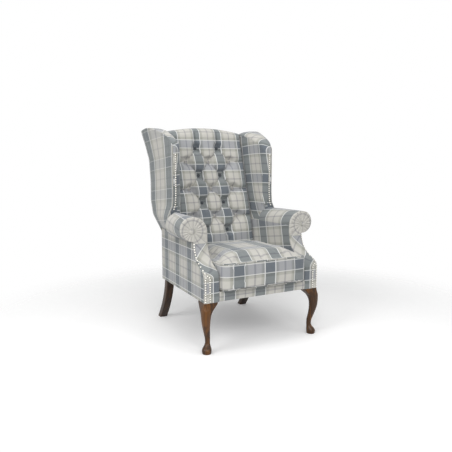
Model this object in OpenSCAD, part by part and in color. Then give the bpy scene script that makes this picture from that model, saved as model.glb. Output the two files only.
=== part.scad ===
// Fireside chair: a wing armchair with a deep-buttoned back, scroll arms, a loose
// boxed seat cushion, cabriole front legs and raked rear legs. Sizes in millimetres.
// +Z is up and the sitter faces -Y. The origin is on the floor under the middle of the
// chair. Left and right are those of someone who looks at the chair from the front.

/* [Chair] */
// Width across the base at the front corners
base_w = 674; // [640:2:710]
// Width across the base at the back
rear_w = 624; // [600:2:650]
// Depth of the base, from the front corners to the outside back
base_d = 607; // [595:1:625]
// Height of the upholstered base above the floor
base_h = 256; // [225:1:290]
// Height of the crest above the floor
chair_h = 1128; // [1118:1:1140]
// Lean of the back in degrees
back_lean = 16.2; // [14:0.1:18]

/* [Buttoned back] */
// Height on the back where its depth is measured
lumbar_h = 683; // [670:1:696]
// Depth from the front corners to the buttons at that height
button_y = 570; // [562:1:578]
// Thickness from the buttons to the outside back
back_t = 80; // [76:1:92]
// Width of the buttoned panel between the wings
inside_back_w = 472; // [460:2:480]
// Half the distance between two buttons of a row
button_dx = 71.5; // [66:0.5:74]
// Height from one row of buttons to the next
button_dz = 79.3; // [76:0.1:81]
// Number of rows of buttons
button_rows = 7; // [5:2:7]
// Height of the top row of buttons
top_button_h = 1006; // [996:1:1012]
// Drop of the crest from its middle to the wings
crest_drop = 25; // [18:1:32]
// How far the pillows stand out from the buttons
tuft_h = 35; // [25:1:40]
// Depth of the pleat between two buttons, measured up from the buttons
pleat_h = 9; // [6:1:14]
// Diameter of a covered button
button_d = 20; // [16:1:22]

/* [Arms] */
// Height of the top of the arms
arm_h = 658; // [640:1:675]
// Thickness of the arm below its roll
arm_w = 82; // [78:1:88]
// Radius of the roll on the sitter's side
roll_in_r = 78; // [72:1:82]
// Radius of the roll on the outside
roll_out_r = 60; // [56:1:64]
// How far the roll stands out past the arm below it
roll_reach = 68; // [64:1:74]
// How far the scroll stands back from the front corner
arm_setback = 135; // [120:1:145]
// Height where the arm's front starts to sweep back
arm_sweep_h = 385; // [375:1:395]
// Height of that sweep
arm_sweep_rise = 160; // [150:1:165]

/* [Wings] */
// Depth from the front corners to the front edge of the wings
wing_y = 420; // [410:1:430]
// Thickness of a wing at its front edge
wing_t = 50; // [48:1:56]
// Height of the highest point of the wings
wing_h = 1118; // [1112:1:1122]
// Drop of the wing's top edge from there to its front
wing_drop = 118; // [100:1:130]

/* [Seat] */
// Height of the cushion from the deck to its top seam
cushion_h = 131; // [120:1:140]
// Rise of the cushion's crown above that seam
crown_h = 38; // [25:1:45]
// How far the cushion overhangs the front border
cushion_overhang = 22; // [15:1:30]
// Bulge of the cushion's front border
cushion_bulge = 6; // [3:1:9]
// Depth of the cushion
cushion_d = 474; // [465:1:476]
// Radius of the cushion's corners in plan
cushion_r = 42; // [32:1:50]
// Gap between the cushion and an arm
cushion_gap = 4.5; // [4:0.1:7]
// Diameter of the piping
piping_d = 6.6; // [5.6:0.1:7]
// Length of the cushion's zip
zip_l = 400; // [360:5:420]
// Number of seat springs
spring_count = 5; // [4:1:5]

/* [Legs] */
// Width of the square top of a front leg
front_leg_w = 74; // [68:1:76]
// How far the knee stands out towards the corner
knee_out = 34; // [26:1:38]
// Radius of the pad foot
foot_r = 24; // [21:1:26]
// Radius of the ankle above it
ankle_r = 12.5; // [11:0.5:14]
// Width of a rear leg
rear_leg_w = 43; // [38:1:44]
// Distance of a rear leg from the centre plane
rear_leg_x = 278; // [276:1:280]
// How far a rear foot lies behind the top of its leg
rear_kick = 120; // [90:1:140]

/* [Frame] */
// Thickness of the front and back seat rails
rail_t = 28; // [24:1:32]
// Height of the front and back seat rails
rail_h = 34; // [30:1:36]
// Height of the side seat rails
side_rail_h = 60; // [54:1:64]
// Thickness of the arm stumps and side rails
arm_timber_t = 40; // [36:1:42]
// Thickness of the arm rails
arm_rail_t = 28; // [24:1:30]
// Thickness of the wing posts and wing rails
wing_timber_t = 24; // [20:1:26]
// Width of the wing posts and wing rails seen from the side
wing_timber_w = 42; // [36:1:46]
// Height of the top rail
top_rail_h = 58; // [50:1:64]
// Height of the lower back rail
tack_rail_h = 42; // [36:1:48]

/* [Hidden] */

// Clearance between soft pieces and what carries them
fit = 0.3;
// Overrun of cuts past the piece that they cut
over = 5;
// Thickness of an outside panel, and of the padding on the front of the arms and of the seat
panel_t = 3;
facing_t = 10;
// Thickness of the turned-under cloth below the frame, and of the dust cover
hem_t = 2;
dust_t = 1.2;
// Thickness of the webbing, the hessian, the felt and the stuffed deck
web_t = 1.2;
web_w = 50;
hessian_t = 1;
felt_t = 2;
deck_t = 7;
// Spring wire and the strip of its clips
wire_d = 3.2;
clip_t = 0.8;
clip_w = 16;
clip_reach = 8;
spring_reach = 24;
spring_waves = 18;
// Foot, depth and heel of an arm stump
stump_foot_d = 95;
stump_d = 70;
// Legs of the glue blocks
block_leg = 60;
// Hanger bolts of the front legs
bolt_d = 8;
bolt_l = 60;
// Depth of the pad behind the buttons, and the room for hessian and webbing behind it
pad_d = 31;
pad_gap = hessian_t + 2 * web_t + 2 * fit;
// Step where a pad changes from one neighbour to the next
step_z = 1.2;
// Radius of the wing's padded front edge and the tuck of the roll behind it
wing_edge_r = 30;
wing_solid_share = 1.04;
wing_lip = 6;
wing_tuck = 20;
// Drop of the outside back's top edge below the crest
back_seam_drop = 20;
// Dimple and funnel round a button
dimple_r = 15;
funnel_r = 42;
button_h = 6;
// Piping groove
groove_d = 5.5;
groove_h = 5;
// Zip
tape_w = 24;
tape_t = 1;
chain_w = 5.6;
chain_t = 1.6;
slider_l = 12;
slider_wall = 2.2;
pull_w = 8;
pull_l = 26;
pull_t = 1.4;

// Colours
BEECH = "#c9a877";
SHOW_WOOD = "#7a4a22";
PLAID = "#b9bcb6";
PLAID_DARK = "#8b97a3";
SPRING = "#6d7278";
FELT = "#8f8b84";
HESSIAN = "#b79a68";
BLACK_CLOTH = "#2c2c2e";
ZIP_METAL = "#a89a78";

// Lines that the pieces share
taper_share = (base_w - rear_w) / 2 / base_d;
lean_share = tan(back_lean);
frame_z = base_h + hem_t;
rail_top = frame_z + rail_h;
wire_z = rail_top + clip_t + fit / 3;
felt_z = wire_z + wire_d + fit / 3 + clip_t + fit / 3;
deck_z = felt_z + felt_t + fit / 3;
deck_top = deck_z + deck_t;
cushion_z = deck_top + fit;
seam_z = cushion_z + cushion_h;
half_w = base_w / 2;
arm_in = half_w - arm_w;
timber_in = half_w - panel_t - arm_timber_t;
back_half = inside_back_w / 2;
in_taper_share = (arm_in - back_half) / button_y;
arm_pad_z = deck_z + fit;
roll_in_x = arm_in + roll_in_r;
roll_in_z = arm_h - roll_in_r;
roll_out_x = half_w + roll_reach - roll_out_r;
roll_out_z = arm_h - roll_out_r;
arm_rail_z = roll_out_z - 0.7 * roll_out_r;
arm_rail_top = arm_rail_z + arm_rail_t;
arm_end_y = wing_y + wing_tuck;
post_d = back_t - panel_t - pad_d - pad_gap - fit;
post_in = rear_leg_x - rear_leg_w / 2;
post_out = rear_leg_x + rear_leg_w / 2;
post_rear_y = base_d - panel_t - fit;
post_seat_y = post_rear_y - 2 * post_d;

// Middle of the chair from front to back, which is the origin's depth
front_most = -cushion_overhang - cushion_bulge;
rear_most = plane_y(chair_h - back_seam_drop) + back_t;
mid_y = (front_most + rear_most) / 2;

function mix(a, b, t) = a + (b - a) * t;
function clamp(v, low, high) = min(max(v, low), high);
function ease(t) = t * t * (3 - 2 * t);

// Button plane at a height, and a line beside the centre plane that follows the taper
function plane_y(z) = button_y + lean_share * (z - lumbar_h);
function plane_z(y) = lumbar_h + (y - button_y) / lean_share;
function side_x(x, y) = x - taper_share * y;
bend_z = plane_z(base_d - back_t);

// Crest line of the back from one wing to the other
function crest_z(x) = chair_h - crest_drop * pow(x / back_half, 2);

// Half-width of the outside back at a height, as shares of the wing's height and of the rear width
back_edge_shares = [
    [0, 1], [0.325, 1], [0.37, 1.054], [0.437, 1.128], [0.527, 1.138], [0.654, 1.098],
    [0.794, 1.08], [0.898, 1.125], [0.979, 1.17], [1.1, 1.17]
];
function back_edge_x(z) = rear_w / 2 * lookup((z - base_h) / (wing_h - base_h), back_edge_shares);

// Outer face of the wing's front edge, as shares of the arm's height and of the side line there
wing_edge_shares = [
    [0.845, 1.0], [0.874, 1.05], [0.912, 1.09], [0.962, 1.084], [1.003, 1.048], [1.049, 1.003],
    [1.14, 0.99], [1.8, 0.99]
];
function wing_edge_x(z) = side_x(half_w, wing_y) * lookup(z / arm_h, wing_edge_shares);

// Top edge of the wing, as shares of the wing's depth and of its drop
wing_top_shares = [
    [0, 0], [0.03, 0.17], [0.085, 0.36], [0.143, 0.47], [0.25, 0.62], [0.37, 0.76], [0.5, 0.89],
    [0.6, 0.98], [0.75, 1], [0.9, 0.93], [1, 0.86]
];
wing_rear_y = plane_y(wing_h) + back_t;
function wing_top(y) =
    wing_h - wing_drop * (1 - lookup((y - wing_y) / (wing_rear_y - wing_y), wing_top_shares));
post_top = wing_top(wing_rear_y) - wing_solid_share * wing_edge_r - step_z;
function wing_share(y, z) =
    clamp((y - wing_y) / (plane_y(z) + back_t - panel_t - fit - wing_y), 0, 1);
function wing_out_x(y, z) = mix(wing_edge_x(z), back_edge_x(z), ease(wing_share(y, z)));
function wing_in_x(y, z) =
    mix(wing_edge_x(arm_h * 1.2) - wing_t, back_half, clamp(1.15 * wing_share(y, z), 0, 1));

// Sweep of the arm's front, as shares of its rise and of the set-back
arm_front_shares = [
    [0, 0], [0.07, 0.035], [0.14, 0.14], [0.2, 0.31], [0.28, 0.5], [0.37, 0.66], [0.48, 0.79],
    [0.62, 0.9], [0.8, 0.97], [1, 1]
];
arm_sweep_zs = [
    for (s = arm_front_shares) let (z = arm_sweep_h + s[0] * arm_sweep_rise) if (z < arm_rail_z) z
];
function arm_front(z) = arm_setback * lookup((z - arm_sweep_h) / arm_sweep_rise, arm_front_shares);

// Inner side of the arm's section at a height
function arm_inner_x(z) =
    z < roll_in_z ? arm_in : roll_in_x - sqrt(pow(roll_in_r, 2) - pow(z - roll_in_z, 2));

// Narrowing of the roll where it dies into the wing: none in front, to this share of it at the wing
roll_end_share = 0.35;
roll_run = 70;
roll_core_x = roll_in_x - wing_tuck;
function roll_end(y) = clamp((y - wing_y + roll_run) / roll_run, 0, 1);
// Line towards which the roll narrows: the outer panel below the arm rail, the roll's middle above
function roll_core(z) = mix(
    half_w + fit, roll_core_x, ease(clamp((z - arm_rail_z) / (roll_out_z - arm_rail_z), 0, 1))
);
arm_rail_reach = roll_out_x + 0.45 * roll_out_r;
function arm_rail_out(y) = mix(arm_rail_reach, timber_in + 0.85 * arm_timber_t, roll_end(y));

// Places every piece so that the origin is under the middle of the chair
module placed() {
    translate([0, -mid_y, 0]) children();
}

// Mirrors a piece drawn for the right side when side is -1
module on_side(side) {
    placed() if (side < 0) mirror([1, 0, 0]) children(); else children();
}

// Board whose outline is drawn from the side, as points of depth and height, between two widths
module side_board(points, x0, x1) {
    translate([x0, 0, 0]) rotate([90, 0, 90]) linear_extrude(x1 - x0) polygon(points);
}

// Upright prism between two lines that follow the taper
module tapered_prism(x0, x1, y0, y1, z0, z1) {
    translate([0, 0, z0]) linear_extrude(z1 - z0) polygon([
        [side_x(x0, y0), y0], [side_x(x1, y0), y0], [side_x(x1, y1), y1], [side_x(x0, y1), y1]
    ]);
}

// Upright prism across the chair whose ends follow the taper on both sides
module cross_prism(x, y0, y1, z0, z1) {
    translate([0, 0, z0]) linear_extrude(z1 - z0) polygon([
        [-side_x(x, y0), y0], [side_x(x, y0), y0], [side_x(x, y1), y1], [-side_x(x, y1), y1]
    ]);
}

// Triangles of a wall between rows of n points that wind one way, rows from first to last
function wall_faces(rows, n, closed) = [
    for (i = [0 : rows - 2])
        for (j = [0 : n - (closed ? 1 : 2)])
            let (a = i * n + j, b = i * n + (j + 1) % n, c = a + n, d = b + n)
                for (f = [[a, c, d], [a, d, b]]) f
];

// Thick sheet between two grids. Seen from outside, rows climb and columns run to the right.
module thick_sheet(face, rear) {
    m = len(face);
    n = len(face[0]);
    k = m * n;
    points = concat([for (row = face) for (p = row) p], [for (row = rear) for (p = row) p]);
    front = wall_faces(m, n, false);
    back = [for (f = front) [f[0] + k, f[2] + k, f[1] + k]];
    left = [for (i = [0 : m - 2]) let (a = i * n, b = a + n) for (f = [[a, a + k, b + k], [a, b + k, b]]) f];
    right = [
        for (i = [0 : m - 2])
            let (a = i * n + n - 1, b = a + n) for (f = [[a, b + k, a + k], [a, b, b + k]]) f
    ];
    foot = [for (j = [0 : n - 2]) for (f = [[j, j + 1, j + 1 + k], [j, j + 1 + k, j + k]]) f];
    head = [
        for (j = [0 : n - 2])
            let (a = (m - 1) * n + j) for (f = [[a, a + 1 + k, a + 1], [a, a + k, a + 1 + k]]) f
    ];
    polyhedron(points, concat(front, back, left, right, foot, head));
}

// Closed loft through rings, each counter-clockwise seen from the last one, with a fan at each end
module loft(rings) {
    m = len(rings);
    n = len(rings[0]);
    last = (m - 1) * n;
    ends = [for (r = [rings[0], rings[m - 1]]) (r[0] + r[n / 2]) / 2];
    foot = [for (j = [0 : n - 1]) [j, (j + 1) % n, m * n]];
    head = [for (j = [0 : n - 1]) [last + (j + 1) % n, last + j, m * n + 1]];
    polyhedron(concat([for (r = rings) for (p = r) p], ends), concat(wall_faces(m, n, true), foot, head));
}

// Seat frame

module front_seat_rail() {
    color(BEECH) placed() cross_prism(timber_in, facing_t, facing_t + rail_t, frame_z, rail_top);
}

module back_seat_rail() {
    color(BEECH) placed() translate([-post_in, post_rear_y - rail_t, frame_z])
        cube([2 * post_in, rail_t, rail_h]);
}

module side_seat_rail(side) {
    color(BEECH) on_side(side) tapered_prism(
        timber_in, timber_in + arm_timber_t, stump_foot_d + facing_t, post_seat_y,
        frame_z, frame_z + side_rail_h
    );
}

// Glue blocks in the four corners of the seat frame
module corner_blocks() {
    front_y = facing_t + rail_t;
    rear_y = post_rear_y - rail_t;
    color(BEECH) for (side = [-1, 1]) on_side(side) translate([0, 0, frame_z]) linear_extrude(rail_h) {
        polygon([
            [side_x(timber_in, front_y), front_y], [side_x(timber_in, front_y) - block_leg, front_y],
            [side_x(timber_in, front_y + block_leg), front_y + block_leg]
        ]);
        polygon([[post_in, rear_y], [post_in - block_leg, rear_y], [post_in, rear_y - block_leg + fit]]);
    }
}

// Board that carries the arm, with its front edge cut to the sweep and a bore for the leg's bolt
module arm_stump(side) {
    heel_z = arm_sweep_h + arm_sweep_rise / 2;
    sweep = [for (z = arm_sweep_zs) [arm_front(z) + facing_t, z]];
    outline = concat(
        [[facing_t, base_h]], sweep, [[arm_front(arm_rail_z) + facing_t, arm_rail_z]],
        [[arm_setback + facing_t + stump_d, arm_rail_z], [arm_setback + facing_t + stump_d, heel_z]],
        [[stump_foot_d + facing_t, arm_sweep_h], [stump_foot_d + facing_t, base_h]]
    );
    color(BEECH) on_side(side) difference() {
        intersection() {
            side_board(outline, timber_in - over, half_w + over);
            tapered_prism(
                timber_in, timber_in + arm_timber_t, 0, arm_setback + facing_t + stump_d + over,
                base_h - over, arm_rail_z + over
            );
        }
        translate([bolt_x, bolt_y, base_h - over])
            cylinder(r = bolt_d / 2 + fit, h = bolt_l / 2 + over, $fn = 32);
    }
}
bolt_x = timber_in + arm_timber_t / 2;
bolt_y = front_leg_w / 2 + bolt_d;

// Flat board along the top of the arm, wide under the roll and narrow beside the wing
module arm_rail(side) {
    front = arm_setback + facing_t;
    neck = wing_y - roll_run;
    rear = plane_y(arm_rail_top) + pad_d + pad_gap;
    color(BEECH) on_side(side) intersection() {
        side_board([
            [front, arm_rail_z], [front, arm_rail_top], [rear, arm_rail_top],
            [plane_y(arm_rail_z) + pad_d + pad_gap, arm_rail_z]
        ], 0, half_w + roll_reach);
        translate([0, 0, arm_rail_z]) linear_extrude(arm_rail_t) polygon([
            [side_x(timber_in, front), front], [side_x(arm_rail_out(front), front), front],
            [side_x(arm_rail_out(neck), neck), neck], [side_x(arm_rail_out(wing_y), wing_y), wing_y],
            [side_x(arm_rail_out(rear), rear), rear], [side_x(timber_in, rear), rear]
        ]);
    }
}

// Back post and raked rear leg, cut from one plank
module back_post(side) {
    front = pad_d + pad_gap;
    heel_y = post_rear_y - post_d;
    kick_shares = [0.9, 0.8, 0.65, 0.5, 0.35, 0.2, 0];
    function kick(s) = rear_kick * pow(1 - s, 1.7);
    outline = concat(
        [[plane_y(post_top) + front, post_top], [plane_y(post_top) + front + post_d, post_top]],
        [[post_rear_y, bend_z], [post_rear_y, base_h]],
        [for (s = kick_shares) [post_rear_y + kick(s), s * base_h]],
        [for (k = [len(kick_shares) - 1 : -1 : 0]) [heel_y + kick(kick_shares[k]), kick_shares[k] * base_h]],
        [[heel_y, frame_z], [post_seat_y, frame_z], [post_seat_y, plane_z(post_seat_y - front)]]
    );
    color(SHOW_WOOD) on_side(side) side_board(outline, post_in, post_out);
}

// Rail across the back between two heights, leaning with the posts
module back_rail(z0, z1, depth) {
    front = pad_d + pad_gap;
    color(BEECH) placed() side_board([
        [plane_y(z0) + front, z0], [plane_y(z0) + front + depth, z0],
        [plane_y(z1) + front + depth, z1], [plane_y(z1) + front, z1]
    ], -post_in, post_in);
}

module top_rail() {
    back_rail(post_top - top_rail_h, post_top, post_d);
}

// The tack rail lies a little above the blocks and the side rails
tack_rail_z = frame_z + side_rail_h + block_leg / 5;

module back_tack_rail() {
    back_rail(tack_rail_z, tack_rail_z + tack_rail_h, rail_t);
}

// Outer face of the wing's timber, inside the outside panel
wing_wood_x = wing_edge_x(1.2 * arm_h) - panel_t - wing_lip / 2;
wing_wood_y = wing_y + wing_edge_r + 2 * fit;
function wing_wood_top(y) = wing_top(y) - wing_solid_share * wing_edge_r - 2 * step_z;
wing_wood_ys = [for (k = [0 : 0.25 : 1]) mix(wing_wood_y, plane_y(post_top) + pad_d + pad_gap, k)];

module wing_post(side) {
    rear = wing_wood_y + wing_timber_w;
    color(BEECH) on_side(side) side_board([
        [wing_wood_y, arm_rail_top], [rear, arm_rail_top],
        [rear, wing_wood_top(wing_wood_y) - wing_timber_w],
        [wing_wood_y, wing_wood_top(wing_wood_y) - wing_timber_w]
    ], wing_wood_x - wing_timber_t, wing_wood_x);
}

// Shaped board from the wing's post to the back post
module wing_rail(side) {
    front = pad_d + pad_gap;
    low_z = wing_wood_top(wing_wood_y) - wing_timber_w;
    upper = [for (y = wing_wood_ys) [y, min(wing_wood_top(y), post_top)]];
    color(BEECH) on_side(side) side_board(concat(
        [[wing_wood_y, low_z]], upper,
        [[plane_y(post_top - wing_timber_w * 1.5) + front, post_top - wing_timber_w * 1.5]],
        [[wing_wood_y + wing_timber_w * 1.5, low_z]]
    ), wing_wood_x - wing_timber_t, wing_wood_x);
}

// Cabriole leg: rings from the square top over the knee and ankle to the round pad foot.
// Shares of height, of the knee's reach, of the half-diagonal or foot, and of squareness.
leg_shares = [
    [1, 0, 1, 1], [0.965, 0.06, 0.97, 1], [0.93, 0.25, 0.88, 0.9], [0.89, 0.5, 0.77, 0.8],
    [0.85, 0.74, 0.66, 0.6], [0.78, 0.92, 0.54, 0.4], [0.7, 1, 0.47, 0.3], [0.6, 0.97, 0.42, 0.25],
    [0.5, 0.82, 0.36, 0.2], [0.4, 0.62, 0.31, 0.15], [0.3, 0.4, 0.265, 0.1], [0.22, 0.35, 0.24, 0]
];
// Shares of the leg's height, of the knee's reach, and of the way from the ankle to the foot
foot_shares = [
    [0.175, 0.4, 0.12], [0.14, 0.5, 0.42], [0.105, 0.62, 0.8], [0.07, 0.7, 1], [0.04, 0.7, 0.98],
    [0.012, 0.7, 0.88], [0, 0.7, 0.78]
];
leg_sides = 20;
function leg_ring(z, out, r, square) = [
    for (k = [0 : leg_sides - 1])
        let (
            a = 360 * (k + 0.5) / leg_sides, d = a + 45, shift = out / sqrt(2),
            q = mix(r, r / (abs(cos(d)) + abs(sin(d))), square)
        )
            [half_w - front_leg_w / 2 + shift + q * cos(a), front_leg_w / 2 - shift + q * sin(a), z]
];

module front_leg(side) {
    diagonal = front_leg_w / sqrt(2);
    upper = [
        for (k = [len(leg_shares) - 1 : -1 : 0]) let (s = leg_shares[k])
            leg_ring(s[0] * base_h, s[1] * knee_out, max(s[2] * diagonal, ankle_r), s[3])
    ];
    lower = [
        for (k = [len(foot_shares) - 1 : -1 : 0]) let (s = foot_shares[k])
            leg_ring(s[0] * base_h, s[1] * knee_out, mix(ankle_r, foot_r, s[2]), 0)
    ];
    color(SHOW_WOOD) on_side(side) difference() {
        loft(concat(lower, upper));
        translate([bolt_x, bolt_y, base_h - bolt_l / 2])
            cylinder(r = bolt_d / 2 + fit, h = bolt_l, $fn = 32);
    }
}

// Hanger bolts that hold the front legs to the stumps
module leg_bolts() {
    color(SPRING) for (side = [-1, 1])
        on_side(side) translate([bolt_x, bolt_y, base_h - bolt_l / 2])
            cylinder(r = bolt_d / 2, h = bolt_l, $fn = 32);
}

// Seat springs and what lies on them

spring_y0 = facing_t + rail_t / 2;
spring_y1 = post_rear_y - rail_t / 2;
spring_pitch = (spring_y1 - spring_y0) / spring_waves;
function spring_x(k) = (k - (spring_count - 1) / 2) * 2 * (post_in - block_leg) / (spring_count - 1) * 0.94;
// Middle line of a zigzag spring: it crosses square to the run and turns in round ends
function spring_point(a) =
    [spring_reach * sin(a), spring_y0 + spring_pitch * (a / 180 - sin(2 * a) / 360 * 180 / PI)];
function spring_side(a, w) =
    let (d = spring_point(a + 1) - spring_point(a - 1), n = [-d[1], d[0]] / norm(d)) spring_point(a) + w * n;

module seat_springs() {
    steps = [-70 : 20 : 180 * spring_waves + 70];
    left = [for (a = steps) spring_side(a, wire_d / 2)];
    right = [for (a = steps) spring_side(a, -wire_d / 2)];
    outline = concat(left, [for (k = [len(right) - 1 : -1 : 0]) right[k]]);
    color(SPRING) placed() for (k = [0 : spring_count - 1])
        translate([spring_x(k), 0, wire_z]) linear_extrude(wire_d) polygon(outline);
}

// Bent strips that hold the springs' ends on the rails
module spring_clips() {
    back = wire_d / 2 + 2 * fit;
    outline = [
        [-back - clip_t, rail_top], [clip_reach, rail_top], [clip_reach, rail_top + clip_t],
        [-back, rail_top + clip_t], [-back, wire_z + wire_d + fit / 3],
        [clip_reach / 2, wire_z + wire_d + fit / 3],
        [clip_reach / 2, felt_z - fit / 3], [-back - clip_t, felt_z - fit / 3]
    ];
    color(SPRING) placed() for (k = [0 : spring_count - 1]) {
        translate([0, spring_y0, 0]) side_board(outline, spring_x(k) - clip_w / 2, spring_x(k) + clip_w / 2);
        translate([0, spring_y1, 0]) side_board(
            [for (p = outline) [-p[0], p[1]]], spring_x(k) - clip_w / 2, spring_x(k) + clip_w / 2
        );
    }
}

module seat_felt() {
    color(FELT) placed()
        cross_prism(timber_in - fit, facing_t + fit, post_seat_y - fit, felt_z, felt_z + felt_t);
}

module seat_deck() {
    rear = post_seat_y - block_leg / 4;
    color(PLAID) placed() translate([0, 0, deck_z]) linear_extrude(deck_t) polygon([
        [-inner_x(facing_t) + fit, facing_t + fit], [inner_x(facing_t) - fit, facing_t + fit],
        [inner_x(rear) - fit, rear], [-inner_x(rear) + fit, rear]
    ]);
}
function inner_x(y) = arm_in - in_taper_share * y;

// Padded band below the cushion, between the arms
module front_border() {
    edge = facing_t / 2;
    color(PLAID) placed() side_board([
        [facing_t - fit, base_h], [facing_t - fit, deck_top], [edge, deck_top],
        [edge / 3, deck_top - edge / 2],
        [0, deck_top - facing_t], [0, base_h + edge], [edge / 3, base_h + edge / 3], [edge, base_h]
    ], fit - inner_x(facing_t), inner_x(facing_t) - fit);
}

module bottom_dust_cover() {
    front = facing_t + fit;
    color(BLACK_CLOTH) placed()
        translate([0, 0, frame_z - dust_t - fit]) linear_extrude(dust_t) difference() {
        polygon([
            [-side_x(half_w, front) + over, front], [side_x(half_w, front) - over, front],
            [side_x(half_w, post_rear_y) - over, post_rear_y - fit],
            [-side_x(half_w, post_rear_y) + over, post_rear_y - fit]
        ]);
        for (side = [-1, 1]) mirror([side < 0 ? 1 : 0, 0, 0]) {
            translate([half_w - front_leg_w - over, -over])
                square([front_leg_w + 2 * over, stump_foot_d + 4 * over]);
            translate([post_in - fit, post_rear_y - post_d - fit]) square(post_d + over);
        }
    }
}

// Hessian behind the arm's stuffing, tacked to the stump, the rails and the post
module arm_hessian(side) {
    color(HESSIAN) on_side(side) intersection() {
        side_board([
            each [for (z = concat([arm_pad_z], arm_sweep_zs)) [arm_front(z) + facing_t + fit, z]],
            [arm_setback + facing_t + fit, arm_rail_top], [plane_y(arm_rail_top) + pad_d, arm_rail_top],
            [plane_y(arm_pad_z) + pad_d, arm_pad_z]
        ], 0, half_w);
        tapered_prism(timber_in - hessian_t - fit / 3, timber_in - fit / 3, 0, base_d, frame_z, chair_h);
    }
}

// Upholstery

// Section of the padded arm from the foot of its inner face over the roll to its outer seam,
// and the matching line round the timber inside it
roll_seam_a = acos((half_w + fit - roll_out_x) / roll_out_r);
arm_step_zs = [arm_rail_top - step_z, arm_rail_top + fit / 2];
arm_section = concat(
    [[arm_in, arm_pad_z]], [for (z = arm_sweep_zs) [arm_in, z]], [for (z = arm_step_zs) [arm_inner_x(z), z]],
    [for (a = [165 : -15 : 90]) [roll_in_x + roll_in_r * cos(a), roll_in_z + roll_in_r * sin(a)]],
    [for (a = [75 : -20 : -85]) [roll_out_x + roll_out_r * cos(a), roll_out_z + roll_out_r * sin(a)]],
    [[half_w + fit, roll_out_z - roll_out_r * sin(roll_seam_a)]]
);
arm_low_count = len(arm_sweep_zs) + 2;
arm_core_x = timber_in - hessian_t - fit;
// Point k of sixteen round the arm rail, first along its top, then down its edge and back below
function arm_core(k, out) =
    k <= 9 ? [mix(arm_core_x, out, k / 9), arm_rail_top + fit] :
    k <= 12 ? [out, mix(arm_rail_top + fit, arm_rail_z - fit, (k - 9) / 3)] :
    [mix(out, half_w + fit, (k - 12) / 4), arm_rail_z - fit];
// Taper of a point of the section: the inner face follows the seat, the rest the outside
function arm_x(x, y) = x - y * mix(in_taper_share, taper_share, clamp((x - arm_in) / roll_in_r, 0, 1));

// Top of the roll at a place beside the wing
function roll_top(x, y) =
    let (
        c = (taper_share - in_taper_share) / roll_in_r,
        u = (x + y * (in_taper_share - c * arm_in)) / (1 - y * c),
        d = clamp(roll_in_x - u, 0, roll_in_r)
    )
        u > roll_core_x ? arm_h : roll_in_z + sqrt(pow(roll_in_r, 2) - pow(d, 2));

module inside_arm(side) {
    front = arm_setback + facing_t + fit;
    outer = arm_low_count + 7;
    // Columns at the end, at the wing's front edge and at the neck of the roll, then even shares
    function columns(i) =
        let (
            end = i < outer ? arm_end_y : wing_y - fit, wing = i < outer ? wing_y : wing_y - 2 * fit,
            neck = wing_y - roll_run
        )
            [end, wing, neck, mix(front, neck, 2 / 3), mix(front, neck, 1 / 3), front];
    function depths(i, z) =
        i >= arm_low_count ? columns(i) :
        [for (t = [1, 0.88, 0.76, 0.5, 0.25, 0]) mix(arm_front(z) + facing_t + fit, plane_y(z) + pad_d, t)];
    face = [
        for (i = [0 : len(arm_section) - 1]) [
            for (y = depths(i, arm_section[i][1]))
                let (
                    p = arm_section[i], core = roll_core(p[1]), k = mix(1, roll_end_share, roll_end(y)),
                    x = p[0] > core ? mix(core, p[0], k) : p[0]
                )
                    [arm_x(x, y), y, p[1]]
        ]
    ];
    core = [
        for (i = [0 : len(arm_section) - 1]) [
            for (y = depths(i, arm_section[i][1]))
                let (
                    k = i - arm_low_count,
                    q = k < 0 ? [arm_core_x, arm_section[i][1]] : arm_core(k, arm_rail_out(y) + fit)
                )
                    [side_x(q[0], y), y, q[1]]
        ]
    ];
    color(PLAID) on_side(side) thick_sheet(face, core);
}

// Pleated front of the arm: a plate that follows the sweep and ends in the scroll
module arm_facing(side) {
    columns = [[0, 0.5], [0.12, 0.1], [0.5, 0], [0.88, 0.1], [1, 0.5]];
    low = [for (z = concat([base_h], arm_sweep_zs)) if (z < roll_out_z - roll_out_r) [z, arm_in, half_w]];
    scroll = [
        for (a = [10, 22, 38, 56, 74, 92, 110, 128, 146, 160, 171])
            let (z = roll_out_z - roll_out_r * cos(a)) [z, arm_inner_x(z), roll_out_x + roll_out_r * sin(a)]
    ];
    rows = concat(low, [[roll_out_z - roll_out_r - fit, arm_in, half_w]], scroll);
    face = [
        for (r = rows) [
            for (c = columns)
                let (y = arm_front(r[0]) + c[1] * facing_t) [arm_x(mix(r[1], r[2], c[0]), y), y, r[0]]
        ]
    ];
    rear = [
        for (r = rows) [
            for (c = columns)
                let (y = arm_front(r[0]) + facing_t - fit) [arm_x(mix(r[1], r[2], c[0]), y), y, r[0]]
        ]
    ];
    color(PLAID) on_side(side) thick_sheet(face, rear);
}

// Flat panel on the outside of the arm
module outside_arm(side) {
    sweep = [for (z = arm_sweep_zs) [arm_front(z) + facing_t, z]];
    top = arm_rail_z - fit;
    rear = post_rear_y - fit;
    color(PLAID) on_side(side) intersection() {
        side_board(concat(
            [[facing_t, base_h]], sweep, [[arm_front(top) + facing_t, top], [rear, top], [rear, base_h]]
        ), 0, half_w + over);
        tapered_prism(half_w - panel_t, half_w, 0, base_d, base_h - over, arm_h);
    }
}

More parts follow.
